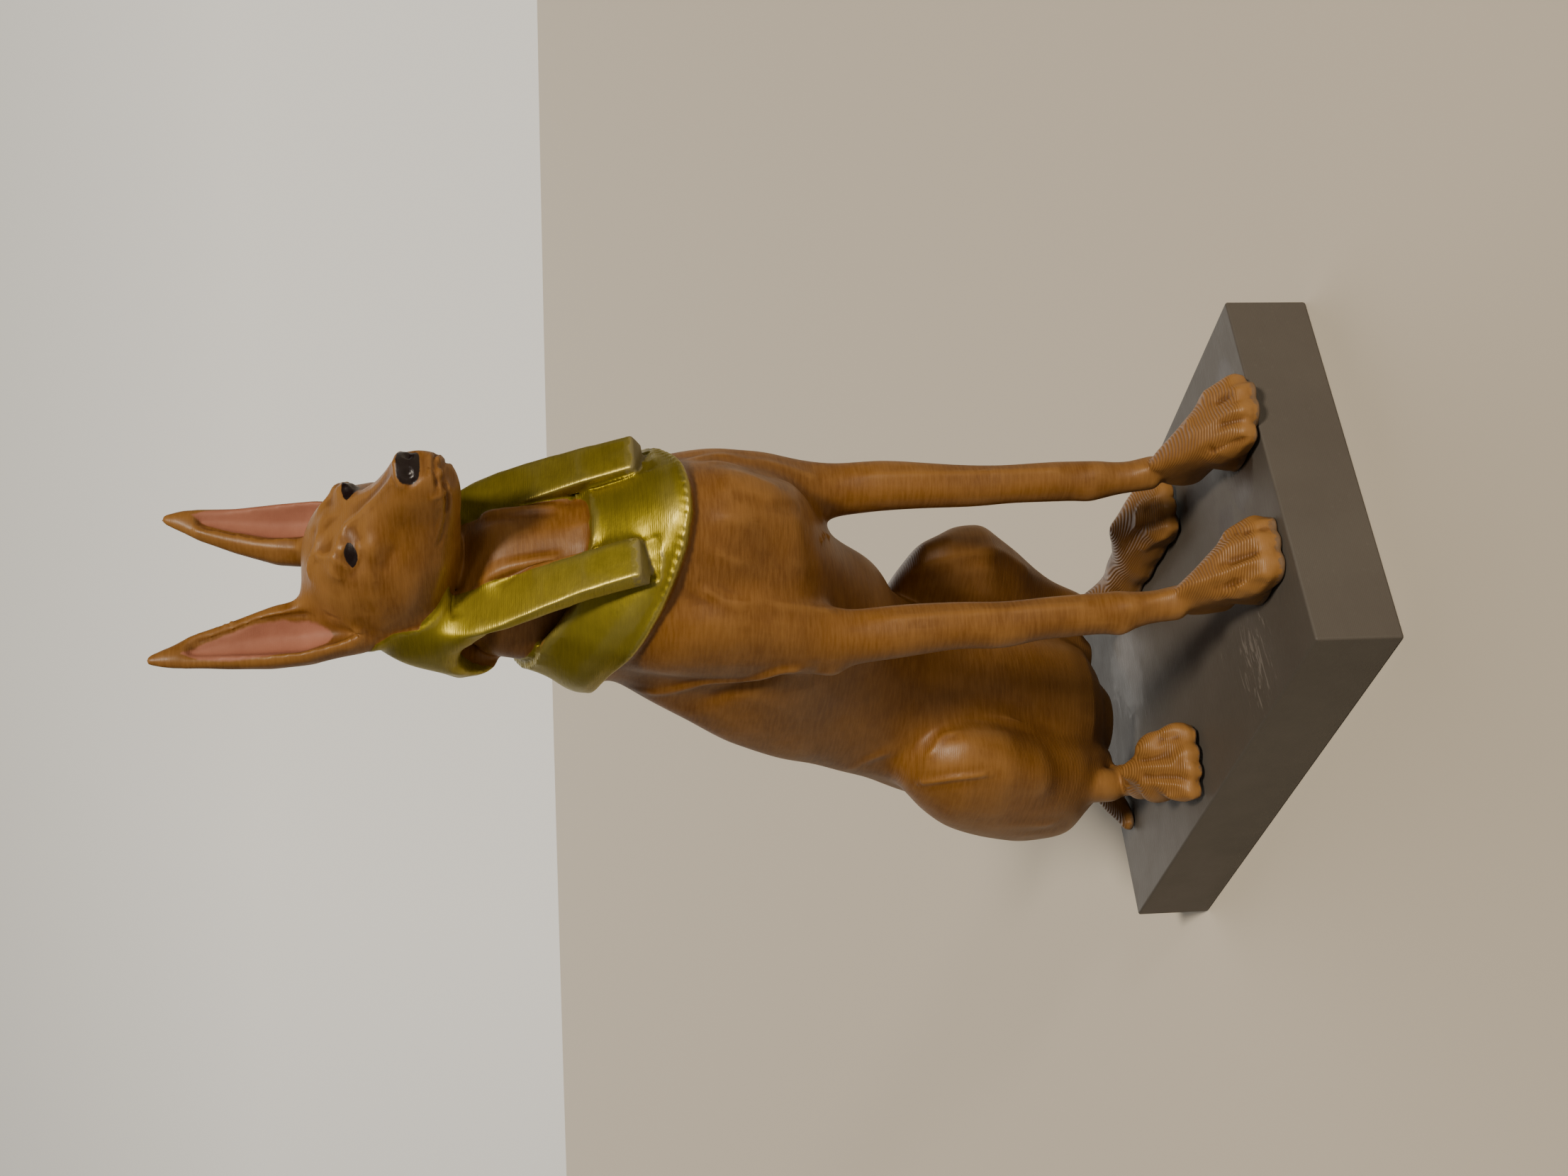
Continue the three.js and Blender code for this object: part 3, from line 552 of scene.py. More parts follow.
def carve_body(clay):
    # a fuller back and belly than the solid's, and a flatter chest
    for centre, radius, push in (
        ((8.0, -4.0, 72.0), 5.5, 1.2), ((8.5, 1.0, 65.0), 7.0, 1.7), ((9.0, 7.0, 57.0), 7.0, 1.7),
        ((9.0, 14.0, 49.0), 5.5, 0.7),
    ):
        clay.pull(centre, radius, (0.85 * push, 0.52 * push, 0.1 * push))
    clay.pull((3.6, -8.4, 48.6), 4.6, (0.4, -1.1, -0.8))
    clay.pull((5.6, -29.0, 61.0), 4.6, (-0.3, 1.1, 0.0))
    clay.fill(clay.near_spot((8.2, -25.4, 61.5), 4.5), 200, 1.2)
    clay.fill(clay.near_spot((8.8, -24.5, 65.5), 4.0, FAR), 260, 1.6)
    clay.pull((-10.6, -18.6, 36.0), 3.8, (-0.6, 0.35, 0.0), FAR)
    clay.pull((8.2, -20.0, 36.0), 7.0, (-0.4, 0.25, 0.0), FAR)
    clay.stroke([(0.2, -31.6, 66.6), (-0.6, -31.2, 64.0), (-0.8, -30.0, 60.6), (0.6, -27.0, 57.4)], 1.1, -0.34, FAR)
    clay.stroke([(2.6, -30.6, 65.0), (2.2, -30.4, 62.4), (1.6, -29.4, 59.4)], 0.9, 0.26, FAR)
    clay.stroke([(7.4, -25.9, 69.4), (8.6, -24.9, 67.4), (9.2, -24.5, 65.4), (9.0, -23.9, 61.8), (8.8, -22.0, 57.2),
                 (8.4, -20.8, 54.0)], 0.85, 0.42)
    clay.stroke([(6.0, -27.2, 62.0), (6.6, -25.6, 59.4), (6.6, -23.4, 56.6)], 1.0, -0.4)
    clay.stroke([(5.4, -29.2, 68.2), (6.4, -28.2, 65.8), (6.9, -27.2, 63.6)], 0.8, 0.26)
    clay.stroke([(-2.8, -31.0, 68.0), (-3.0, -30.8, 65.2), (-3.0, -30.3, 62.4)], 0.8, 0.22, FAR)
    # the shoulder's back edge, the shade behind it, and the elbow
    clay.stroke([(9.0, -6.6, 74.0), (9.9, -8.4, 71.2), (11.4, -12.3, 67.1), (12.0, -13.4, 63.4), (12.9, -16.5, 60.2),
                 (13.0, -16.6, 57.4)], 0.7, 0.5)
    clay.stroke([(9.8, -6.2, 68.4), (11.0, -9.8, 64.2), (11.8, -12.0, 60.6), (12.0, -12.6, 57.0)], 1.4, -0.75)
    clay.press((12.6, -15.2, 54.2), (1.2, 1.4, 1.5), 0.5)
    clay.press((12.8, -16.8, 56.6), (1.0, 1.4, 1.0), -0.2)
    clay.press((10.4, 2.0, 53.0), (3.0, 7.0, 6.0), -0.5)
    clay.stroke([(9.1, 13.7, 48.6), (9.8, 10.4, 46.6), (9.9, 8.6, 43.8)], 0.7, 0.3)
    clay.stroke([(0, -1.0, 75.5), (0, 8.0, 66.0), (0, 18.0, 56.0), (0, 28.0, 42.0)], 0.9, 0.14, FAR)
    clay.stroke([(2.6, 0.0, 73.5), (2.8, 9.0, 64.0), (2.8, 19.0, 53.0)], 1.2, -0.14)
    # strings of plastic that sag from the overhang of the chest
    for spot in ((1.6, -20.4, 54.2), (0.8, -21.2, 54.5), (2.4, -18.8, 53.6), (-0.4, -22.4, 55.0)):
        clay.press(spot, (0.35, 0.35, 0.5), 0.4, FAR)


def carve_hind_legs(clay):
    front = clay.near_spot((12.2, 3.6, 35.0), 3.2) + clay.near_spot((12.6, 6.0, 29.5), 3.0)
    front += clay.near_spot((11.6, 11.0, 22.8), 2.8)
    clay.fill(np.clip(front, 0, 1), 220, 1.3)
    knee = clay.near_spot((8.6, 4.2, 37.6), 6.0, NEAR) + clay.near_spot((9.0, 5.0, 30.0), 4.6, NEAR)
    clay.fill(np.clip(knee * 1.3, 0, 1), 900, 3.6)
    clay.settle(clay.near_spot((8.8, 4.6, 37.0), 5.0, NEAR), 160)
    clay.fill(clay.near_spot((14.4, 10.7, 24.8), 3.2, NEAR), 220, 1.0)
    clay.fill(clay.near_spot((14.2, 13.4, 13.4), 2.8, NEAR), 220, 1.4)
    clay.pull((14.2, 13.6, 13.4), 2.6, (0.5, 0.9, 0.0), NEAR)
    clay.pull((13.5, 23.0, 20.5), 3.5, (0.55, 0.35, 0.0), NEAR)
    clay.pull((10.5, 29.0, 12.4), 3.2, (0.0, 0.0, -1.0), NEAR)
    clay.pull((13.6, 13.0, 15.5), 5.0, (0.0, 0.0, -2.1), FAR)
    clay.pull((13.4, 6.0, 15.2), 3.6, (0.0, 0.0, -0.7), FAR)
    clay.pull((12.5, -2.6, 16.2), 3.2, (0.0, -0.3, -1.5), FAR)
    shank = sum(clay.near_spot(spot, 3.0, FAR) for spot in ((12.0, 6.0, 11.6), (11.2, 0.8, 11.8), (10.9, -3.6, 11.8)))
    clay.fill(np.clip(shank * 1.2, 0, 1), 500, 1.8)
    clay.settle(np.clip(shank, 0, 1), 200)
    clay.stroke([(13.6, 10.6, 41.2), (14.2, 8.8, 39.6), (14.6, 7.4, 37.8), (14.8, 6.6, 35.8), (14.8, 6.2, 33.4)],
                0.45, 0.34)
    clay.press((12.6, 5.4, 37.0), (1.5, 1.5, 3.2), -0.24)
    clay.press((16.2, 10.4, 37.4), (1.8, 2.4, 3.8), -0.12)
    clay.stroke([(12.2, 7.2, 40.4), (11.4, 5.8, 39.8), (10.5, 5.2, 39.1), (10.0, 4.9, 38.2), (10.0, 4.6, 36.6)],
                0.42, 0.22)
    clay.stroke([(16.6, 17.1, 29.8), (16.5, 17.4, 27.0), (15.9, 18.6, 23.2)], 0.5, 0.3)
    clay.settle(clay.near_spot((15.4, 21.4, 33.0), 6.0, NEAR), 160)
    clay.press((12.4, 15.3, 16.0), (3.4, 3.6, 2.4), 0.55, NEAR)
    clay.stroke([(9.6, 1.0, 42.0), (9.0, -2.2, 38.6), (9.8, -3.2, 34.0), (11.6, -0.6, 29.0),
                 (12.0, 5.0, 24.0)], 0.8, 0.3, FAR)
    clay.stroke([(9.2, 27.0, 38.0), (8.6, 30.0, 30.0), (8.2, 30.0, 22.0)], 1.5, -0.25)
    ridges = (
        [(-16.1, 8.1, 15.4), (-16.9, 6.1, 14.6), (-17.9, 4.3, 13.6), (-18.7, 3.1, 12.4), (-19.6, 2.3, 11.2)],
        [(-14.8, 6.4, 15.9), (-15.4, 4.6, 14.8), (-16.0, 3.4, 13.8), (-16.6, 2.3, 12.8), (-16.2, 1.5, 12.2),
         (-15.6, 0.5, 11.7), (-15.0, 0.5, 11.5)],
        [(-13.6, 4.8, 15.0), (-14.2, 3.1, 13.8), (-13.9, 2.0, 12.8), (-14.5, 1.1, 11.8), (-14.7, 0.3, 10.9)],
        [(-12.2, 3.6, 14.2), (-12.4, 1.7, 12.9), (-12.6, 0.5, 11.3)],
        [(-17.7, 1.2, 10.0), (-17.4, 0.9, 11.2), (-16.7, 0.9, 11.5), (-16.3, 0.3, 11.0)],
    )
    gaps = (
        [(-15.8, 6.2, 15.6), (-16.8, 4.7, 14.4), (-17.5, 3.4, 13.2), (-18.2, 2.1, 12.0), (-18.6, 1.5, 10.4)],
        [(-14.3, 5.4, 15.4), (-14.9, 3.9, 14.2), (-15.1, 2.6, 13.2)],
        [(-13.0, 3.6, 14.2), (-13.3, 1.9, 12.9), (-13.7, 0.3, 11.4)],
    )
    for line in ridges:
        clay.stroke(line, 0.55, 0.26, FAR)
    for line in gaps:
        clay.stroke(line, 0.48, -0.3, FAR)
    clay.settle(clay.near_spot((-15.6, 3.6, 12.6), 5.0, FAR), 6)
    clay.stroke([(10.7, -1.9, 12.4), (8.8, -6.4, 11.8), (9.0, -8.2, 10.4)], 0.6, 0.34, FAR)
    clay.stroke([(11.2, -3.4, 14.8), (11.4, -6.1, 14.0), (13.1, -7.5, 13.4), (13.3, -8.9, 12.3), (13.0, -9.6, 10.8)],
                0.6, 0.36, FAR)
    clay.stroke([(11.4, 0.7, 14.2), (10.9, -4.6, 13.8), (10.6, -8.4, 11.8)], 0.6, -0.3, FAR)


def carve_forelegs(clay):
    for side, x, z in ((NEAR, 9.3, 23.4), (FAR, 8.3, 23.8)):
        clay.press((x + 1.9, -19.6, z), (0.9, 1.2, 1.3), 0.42, side)
        clay.press((x, -22.2, z - 0.6), (1.3, 0.8, 1.5), 0.34, side)
        clay.press((x - 1.8, -20.2, z + 0.2), (0.8, 1.2, 1.3), 0.3, side)
        clay.press((x, -17.6, z - 1.4), (0.9, 0.8, 1.0), 0.45, side)
        clay.stroke([(x + 0.5, -21.6, 50.0), (x + 0.2, -21.6, 38.0), (x, -22.4, 27.0)], 0.6, 0.2, side)
        clay.stroke([(x + 2.2, -17.6, 50.0), (x + 1.7, -18.4, 38.0), (x + 1.6, -19.0, 28.0)], 0.6, 0.14, side)
    carve_paws(clay)


def carve_paws(clay):
    """Tendons, toes and the dips between them, then a foot that stands square on the plinth."""
    ridges = (
        [(-9.3, -22.3, 22.0), (-8.8, -23.1, 18.5), (-8.8, -24.9, 17.1), (-9.4, -26.6, 16.2), (-10.0, -28.2, 15.4),
         (-10.3, -30.4, 14.0), (-10.8, -32.4, 12.4), (-11.1, -33.1, 10.6)],
        [(-10.7, -24.6, 14.8), (-11.8, -27.5, 13.8), (-12.2, -29.2, 11.8)],
        [(-7.6, -28.7, 15.0), (-7.6, -30.7, 13.5), (-8.1, -32.7, 12.2), (-8.3, -33.5, 10.5)],
        [(-6.2, -30.8, 13.1), (-6.4, -32.2, 12.1), (-6.8, -33.2, 10.6)],
        [(7.7, -22.7, 19.8), (7.0, -24.5, 17.0), (5.8, -27.9, 15.4), (5.0, -31.9, 14.0), (4.5, -34.5, 12.4),
         (4.4, -36.1, 10.5)],
        [(7.0, -29.5, 15.3), (6.3, -32.7, 14.0), (6.1, -35.1, 12.9), (5.9, -37.1, 11.0)],
        [(10.2, -31.9, 13.9), (9.6, -34.9, 12.8), (9.0, -36.7, 10.8)],
    )
    gaps = (
        [(-10.7, -27.5, 14.6), (-11.5, -29.7, 13.5), (-12.2, -31.2, 11.7)],
        [(-9.2, -29.5, 14.4), (-9.6, -31.2, 13.2), (-9.9, -32.6, 12.2), (-10.0, -33.5, 10.5)],
        [(-7.0, -31.4, 12.9), (-7.4, -33.2, 11.6), (-7.3, -33.8, 10.0)],
        [(4.2, -30.8, 14.0), (3.5, -32.8, 13.2), (2.9, -34.5, 12.0), (2.9, -35.6, 10.5)],
        [(5.6, -33.6, 13.3), (5.0, -35.6, 12.0), (4.9, -36.9, 10.4)],
        [(8.4, -33.8, 13.3), (8.1, -35.3, 12.5), (7.4, -37.2, 10.6)],
    )
    wrists = clay.near_spot((-10.8, -23.8, 13.2), 3.2, FAR) + clay.near_spot((4.6, -26.6, 13.0), 3.0, FAR)
    clay.pull((-10.3, -20.8, 12.8), 2.2, (0.5, -0.35, 0.0), FAR)
    clay.fill(np.clip(wrists, 0, 1), 420, 1.8)
    clay.settle(np.clip(wrists, 0, 1), 60)
    for line in ridges:
        clay.stroke(line, 0.8, 0.3, FAR)
    for line in gaps:
        clay.stroke(line, 0.5, -0.42, FAR)
    clay.press((8.5, -30.8, 15.2), (0.7, 0.7, 0.6), 0.3, FAR)
    height = clay.points[:, 2] - PLINTH_TOP
    normals = clay.normals()
    sideways = normals * np.array([1.0, 1.0, 0.0])
    level = np.linalg.norm(sideways, axis=1)[:, None] + 1e-9
    flare = 0.3 * (1 - soft_step(height, 0.1, 1.1)) * soft_step(-normals[:, 2], -0.1, 0.5) * soft_step(level[:, 0], 0.2, 0.6)
    clay.points += sideways / level * flare[:, None]
    clay.points[:, 2] = np.maximum(clay.points[:, 2], PLINTH_TOP)


def carve_cloth(clay):
    """The worn lips of the hood's arches, the lip of the collar and the edges of the bib."""
    clay.stroke([(7.8, -11.9, 86.6), (8.7, -16.7, 84.8), (8.2, -19.5, 83.3), (7.4, -21.3, 82.2)], 0.4, 0.22)
    clay.stroke([(3.6, -26.4, 79.7), (4.4, -26.3, 79.6), (4.4, -27.4, 77.4), (4.1, -29.0, 74.6)], 0.35, 0.3)
    clay.stroke([(0, -26.9, 79.7), (3.0, -26.6, 79.7)], 0.3, 0.16)
    arch = [(9.1, -8.7, 90.2), (9.3, -9.8, 92.4), (9.5, -12.0, 93.9), (9.5, -15.0, 93.4), (9.5, -18.0, 91.2)]
    clay.stroke(arch, 0.5, 0.16)


LUMPS = (
    # bridges between the hood and its straps
    ((-6.2, -20.1, 92.9), (2.2, 1.2, 2.6)), ((6.2, -20.1, 92.9), (2.2, 1.2, 2.6)),
    ((-6.3, -19.1, 95.2), (2.2, 1.25, 2.3)), ((6.3, -19.1, 95.2), (2.2, 1.25, 2.3)),
    # the neck beside the straps
    ((4.6, -22.6, 85.4), (2.2, 1.9, 6.2)), ((-4.6, -22.6, 85.4), (2.2, 1.9, 6.2)),
    # where the ears grow out of the crown
    ((2.9, -18.4, 109.3), (1.6, 1.3, 1.2)), ((-2.9, -18.4, 109.3), (1.6, 1.3, 1.2)),
    # the near forepaw and the far one
    ((-10.4, -27.4, 10.8), (1.5, 3.6, 2.7)), ((-10.8, -31.4, 10.4), (1.5, 1.8, 2.1)),
    ((-8.6, -31.9, 10.4), (1.4, 1.7, 2.1)), ((-6.7, -31.8, 10.3), (1.2, 1.7, 2.0)),
    ((5.2, -30.0, 10.5), (1.5, 3.6, 2.5)), ((6.2, -34.9, 10.3), (1.4, 2.0, 2.0)), ((8.2, -35.1, 10.3), (1.4, 2.0, 2.0)),
    # the near hind foot
    ((-13.0, 5.2, 13.4), (1.9, 3.0, 2.3)), ((-12.8, 2.8, 11.4), (1.6, 2.6, 2.2)), ((-16.6, 7.6, 12.6), (1.6, 3.2, 2.5)),
    # the far hind leg, which lies low along the plinth
    ((12.8, 8.4, 10.6), (1.7, 4.6, 2.6)), ((11.7, 3.0, 10.6), (1.7, 4.2, 2.7)), ((11.1, -2.0, 10.6), (1.6, 3.8, 2.9)),
    ((10.5, -6.0, 10.3), (1.3, 2.4, 2.5)),
)


def add_lump(work, centre, radii):
    """Adds a ball of clay squeezed to an oval, and cut flat where it would sink into the plinth."""
    place = Matrix.Translation(centre) @ Matrix.Diagonal((*radii, 1.0))
    ball = bmesh.ops.create_icosphere(work, subdivisions=4, radius=1.0, matrix=place)
    for vert in ball["verts"]:
        vert.co.z = max(vert.co.z, PLINTH_TOP + 0.05)


def add_clay(mesh):
    """Adds clay where the solid is plainer than the figure, before it is worked."""
    work = bmesh.new()
    work.from_mesh(mesh)
    place = Matrix.Translation((0, -NECK_MIDDLE, 85.4)) @ Matrix.Rotation(math.radians(14), 4, "X")
    bmesh.ops.create_cone(
        work, cap_ends=True, segments=64, radius1=8.4, radius2=7.8, depth=11.0,
        matrix=place @ Matrix.Diagonal((1.0, 0.96, 1.0, 1.0)),
    )
    for centre, radii in LUMPS:
        add_lump(work, centre, radii)
    work.to_mesh(mesh)
    work.free()
    return mesh


def unit_mesh(mesh):
    """Brings a mesh from millimetres to metres."""
    mesh.transform(Matrix.Scale(MM, 4))
    mesh.update()
    return mesh


def add_attribute(mesh, name, values):
    layer = mesh.attributes.new(name, "FLOAT", "POINT")
    layer.data.foreach_set("value", values.astype(np.float32))


def paint_figure(mesh):
    """Stores where each paint ends, as distances in millimetres, and how sharp each edge is."""
    clay = Clay(mesh, FINE_PITCH)
    normals = clay.normals()
    x, y, z = clay.points.T
    add_attribute(mesh, "flat", np.abs(normals[:, 2]))
    add_attribute(mesh, "cloth", np.clip(cloth_field(clay.points), -2, 2))
    add_attribute(mesh, "pink", np.clip(pink_field(clay.points, normals), -2, 2))
    add_attribute(mesh, "black", np.clip(black_field(clay.points), -2, 2))
    toes = PLINTH_TOP + 0.75 - z
    strap_ends = np.minimum(lappet_field(clay.points), np.minimum(0.1 - normals[:, 2], 76.0 - z))
    strap_ends = np.minimum(strap_ends, np.maximum(z - 73.2, (-0.3 - normals[:, 2]) * 4))
    patch = 1.0 - np.linalg.norm((clay.points - BARE_PATCH) / BARE_PATCH_SIZE, axis=1)
    add_attribute(mesh, "bare", np.clip(np.maximum(np.maximum(toes, strap_ends), patch), -2, 2))
    # The bend of the surface, kept as 'edge', lets the paint lighten ridges and darken creases: partly wear and thin
    # paint, partly painted highlight and painted shade.
    smooth = clay.points.copy()
    for _ in range(3):
        smooth = clay.mean(smooth)
    bend = np.einsum("ij,ij->i", clay.points - smooth, normals)
    bend = clay.mean(bend[:, None])[:, 0]
    add_attribute(mesh, "edge", np.clip(bend / 0.06, -1, 1))


# ---------------------------------------------------------------- shader maths


class Signal:
    """A shader socket that takes part in Python sums."""

    def __init__(self, shader, socket):
        self.shader = shader
        self.socket = socket

    def _math(self, operation, *values):
        return self.shader.node("ShaderNodeMath", {"operation": operation}, dict(enumerate(values)))

    def __add__(self, other):
        return self._math("ADD", self, other)

    __radd__ = __add__

    def __sub__(self, other):
        return self._math("SUBTRACT", self, other)

    def __rsub__(self, other):
        return self._math("SUBTRACT", other, self)

    def __mul__(self, other):
        return self._math("MULTIPLY", self, other)

    __rmul__ = __mul__

    def __truediv__(self, other):
        return self._math("DIVIDE", self, other)

    def __neg__(self):
        return self._math("MULTIPLY", self, -1.0)

    def sine(self):
        return self._math("SINE", self)

    def most(self, other):
        return self._math("MAXIMUM", self, other)

    def least(self, other):
        return self._math("MINIMUM", self, other)

    def size(self):
        return self._math("ABSOLUTE", self)

    def step(self, low, high):
        """Zero under low, one over high, and smooth between them."""
        return self.shader.node(
            "ShaderNodeMapRange",
            {"interpolation_type": "SMOOTHSTEP"},
            {"Value": self, "From Min": low, "From Max": high, "To Min": 0.0, "To Max": 1.0},
        )


class Shader:
    """One material's node tree."""

    def __init__(self, name):
        self.material = bpy.data.materials.new(name)
        self.material.use_nodes = True
        self.tree = self.material.node_tree
        self.surface = self.tree.nodes["Principled BSDF"]
        place = self.node("ShaderNodeTexCoord", {}, {}, "Object")
        self.place = place
        parts = self.node("ShaderNodeSeparateXYZ", {}, {"Vector": place}, None)
        self.x, self.y, self.z = (Signal(self, parts.outputs[k]) for k in range(3))

    def node(self, kind, settings, values, output=0):
        """Makes a node: its settings first, then its sockets' values or links."""
        made = self.tree.nodes.new(kind)
        for key, value in settings.items():
            setattr(made, key, value)
        for key, value in values.items():
            self.feed(made.inputs[key], value)
        return made if output is None else Signal(self, made.outputs[output])

    def feed(self, socket, value):
        if isinstance(value, Signal):
            self.tree.links.new(value.socket, socket)
        else:
            socket.default_value = value

    def noise(self, scale, detail=2.0, rough=0.5, stretch=None, warp=0.0):
        """Soft noise in Object space. The scale is in features per metre."""
        place = self.place
        if stretch:
            place = self.node("ShaderNodeMapping", {}, {"Vector": place, "Scale": stretch})
        values = {"Vector": place, "Scale": scale, "Detail": detail, "Roughness": rough, "Distortion": warp}
        return self.node("ShaderNodeTexNoise", {}, values, "Fac")

    def attribute(self, name):
        return self.node("ShaderNodeAttribute", {"attribute_name": name}, {}, "Fac")

    def mix(self, factor, first, second):
        values = {0: factor, 6: first, 7: second}
        return self.node("ShaderNodeMix", {"data_type": "RGBA", "clamp_factor": True}, values, 2)

    def bump(self, height, distance, strength=1.0, normal=None):
        values = {"Height": height, "Distance": distance, "Strength": strength}
        if normal is not None:
            values["Normal"] = normal
        return self.node("ShaderNodeBump", {}, values, "Normal")

    def finish(self, **sockets):
        for key, value in sockets.items():
            self.feed(self.surface.inputs[key.replace("_", " ")], value)
        return self.material


def colour(value):
    return (*value, 1.0)


def painted_plastic(look):
    """Hand paint over a printed surface, with painted highlights on ridges, the near strap and upward faces, and
    painted shade in creases, layer grooves and on the cloth's far side.
    """
    s = Shader("painted_print")
    turns = 2 * math.pi / LAYER
    ragged = s.noise(900, 3.0, 0.6) - 0.5
    fine = s.noise(2600, 2.0, 0.5) - 0.5
    cloth = (s.attribute("cloth") + ragged * 0.35).step(-0.06, 0.06)
    pink = (s.attribute("pink") + ragged * 0.35).step(-0.14, 0.14)
    black = (s.attribute("black") + ragged * 0.28).step(-0.05, 0.05)
    bare = (s.attribute("bare") + ragged * 1.6 + fine * 0.8).step(-0.2, 0.25)
    edge = s.attribute("edge")
    # ridge: convex edges, where the paint is lightened: partly thin paint and wear, partly a painted highlight on the
    # ridges.
    ridge = edge.step(0.12, 0.75)
    # crease: hollows, where the paint is darkened as painted shade.
    crease_shade = (-edge).step(0.1, 0.7)
    cloudy = s.noise(110, 4.0, 0.6).step(0.3, 0.72)
    streaks = s.noise(420, 3.0, 0.6, (1.0, 1.0, 9.0)).step(0.32, 0.7)
    brown = s.mix(cloudy * 0.6, colour(look.brown), colour(look.brown_deep_and_shade))
    brown = s.mix(streaks * 0.3, brown, colour(look.brown_pale_and_sheen))
    # Painted highlight on the ridges, partly thin paint.
    brown = s.mix(ridge * 0.35, brown, colour(look.brown_pale_and_sheen))
    # Paler paint low on the paws, and a painted sheen on the upward faces of the head.
    pale_paws_and_top_sheen = (1 - s.z.step(13 * MM, 26 * MM)).most(s.attribute("flat").step(0.15, 0.75) * s.z.step(96 * MM, 104 * MM))
    brown = s.mix(pale_paws_and_top_sheen * 0.6, brown, colour(look.brown_pale_and_sheen))
    flat = s.attribute("flat")
    layers = (s.z * turns).sine() * 0.5 + 0.5
    # Painted shade in the layer grooves on shallow slopes low on the legs.
    layer_groove_shade = (1 - layers).step(0.45, 1.0) * flat.step(0.3, 0.7) * (1 - s.z.step(22 * MM, 30 * MM))
    brown = s.mix(layer_groove_shade * 0.5, brown, colour(look.brown_deep_and_shade))
    # Painted shade in the creases.
    brown = s.mix(crease_shade * 0.55, brown, colour(look.brown_deep_and_shade))
    lines = s.noise(300, 4.0, 0.65, (1.0, 1.0, 16.0)).step(0.34, 0.66)
    gold = s.mix(lines * 0.55, colour(look.gold), colour(look.gold_deep_and_shade))
    gold = s.mix(cloudy * 0.25, gold, colour(look.gold_pale_and_highlight))
    # Painted highlight: the near strap is paler where the light falls on it.
    near_strap_highlight = (-s.x).step(4.0 * MM, 4.6 * MM) * s.z.step(71 * MM, 74 * MM) * (-s.y).step(17 * MM, 20 * MM)
    gold = s.mix(near_strap_highlight * 0.4, gold, colour(look.gold_pale_and_highlight))
    # Painted shade: the cloth's far side and both sides of the collar below about 80 mm are darkened, except on the
    # near strap.
    sides = (1 - s.z.step(79 * MM, 84 * MM)) * s.x.size().step(3.6 * MM, 5.0 * MM)
    far_side_shade = s.x.step(3.6 * MM, 4.2 * MM).most(sides) * (1 - near_strap_highlight)
    gold = s.mix(far_side_shade * 0.45, gold, colour(look.gold_deep_and_shade))
    # Rubbed gold on the cloth's ridges, partly a painted highlight.
    gold = s.mix(ridge * 0.4, gold, colour(look.gold_worn_and_highlight))
    # Painted shade in the cloth's creases.
    gold = s.mix(crease_shade * 0.5, gold, colour(look.gold_deep_and_shade))
    rosy = s.mix(s.noise(260, 3.0, 0.6).step(0.35, 0.7) * 0.6, colour(look.pink), colour(look.pink_deep))
    paint = s.mix(cloth, brown, gold)
    paint = s.mix(pink, paint, rosy)
    paint = s.mix(black, paint, colour(look.black))
    paint = s.mix(bare * 0.6, paint, colour(look.grey))
    gloss = 0.4 + s.noise(520, 3.0, 0.6) * 0.16 - ridge * 0.05
    gloss = gloss - cloth * 0.03 + pink * 0.16 - black * 0.12 + bare * 0.16
    metal = cloth * 0.74 * (1 - bare * 0.9) * (1 - black)
    low_down = 1 - s.z.step(22 * MM, 45 * MM) * 0.8
    layers = layers * (flat * flat * low_down * 0.095 + 0.002)
    strokes = s.noise(700, 3.0, 0.6, (1.0, 1.0, 2.5))
    normal = s.bump(layers, MM, look.layers)
    normal = s.bump(strokes, 0.07 * MM, 0.5, normal)
    grain = s.noise(2600, 2.0, 0.5, (0.3, 0.3, 2.0)) * cloth
    normal = s.bump(grain, 0.05 * MM, 0.6, normal)
    return s.finish(Base_Color=paint, Roughness=gloss, Metallic=metal, Normal=normal, IOR=1.4)


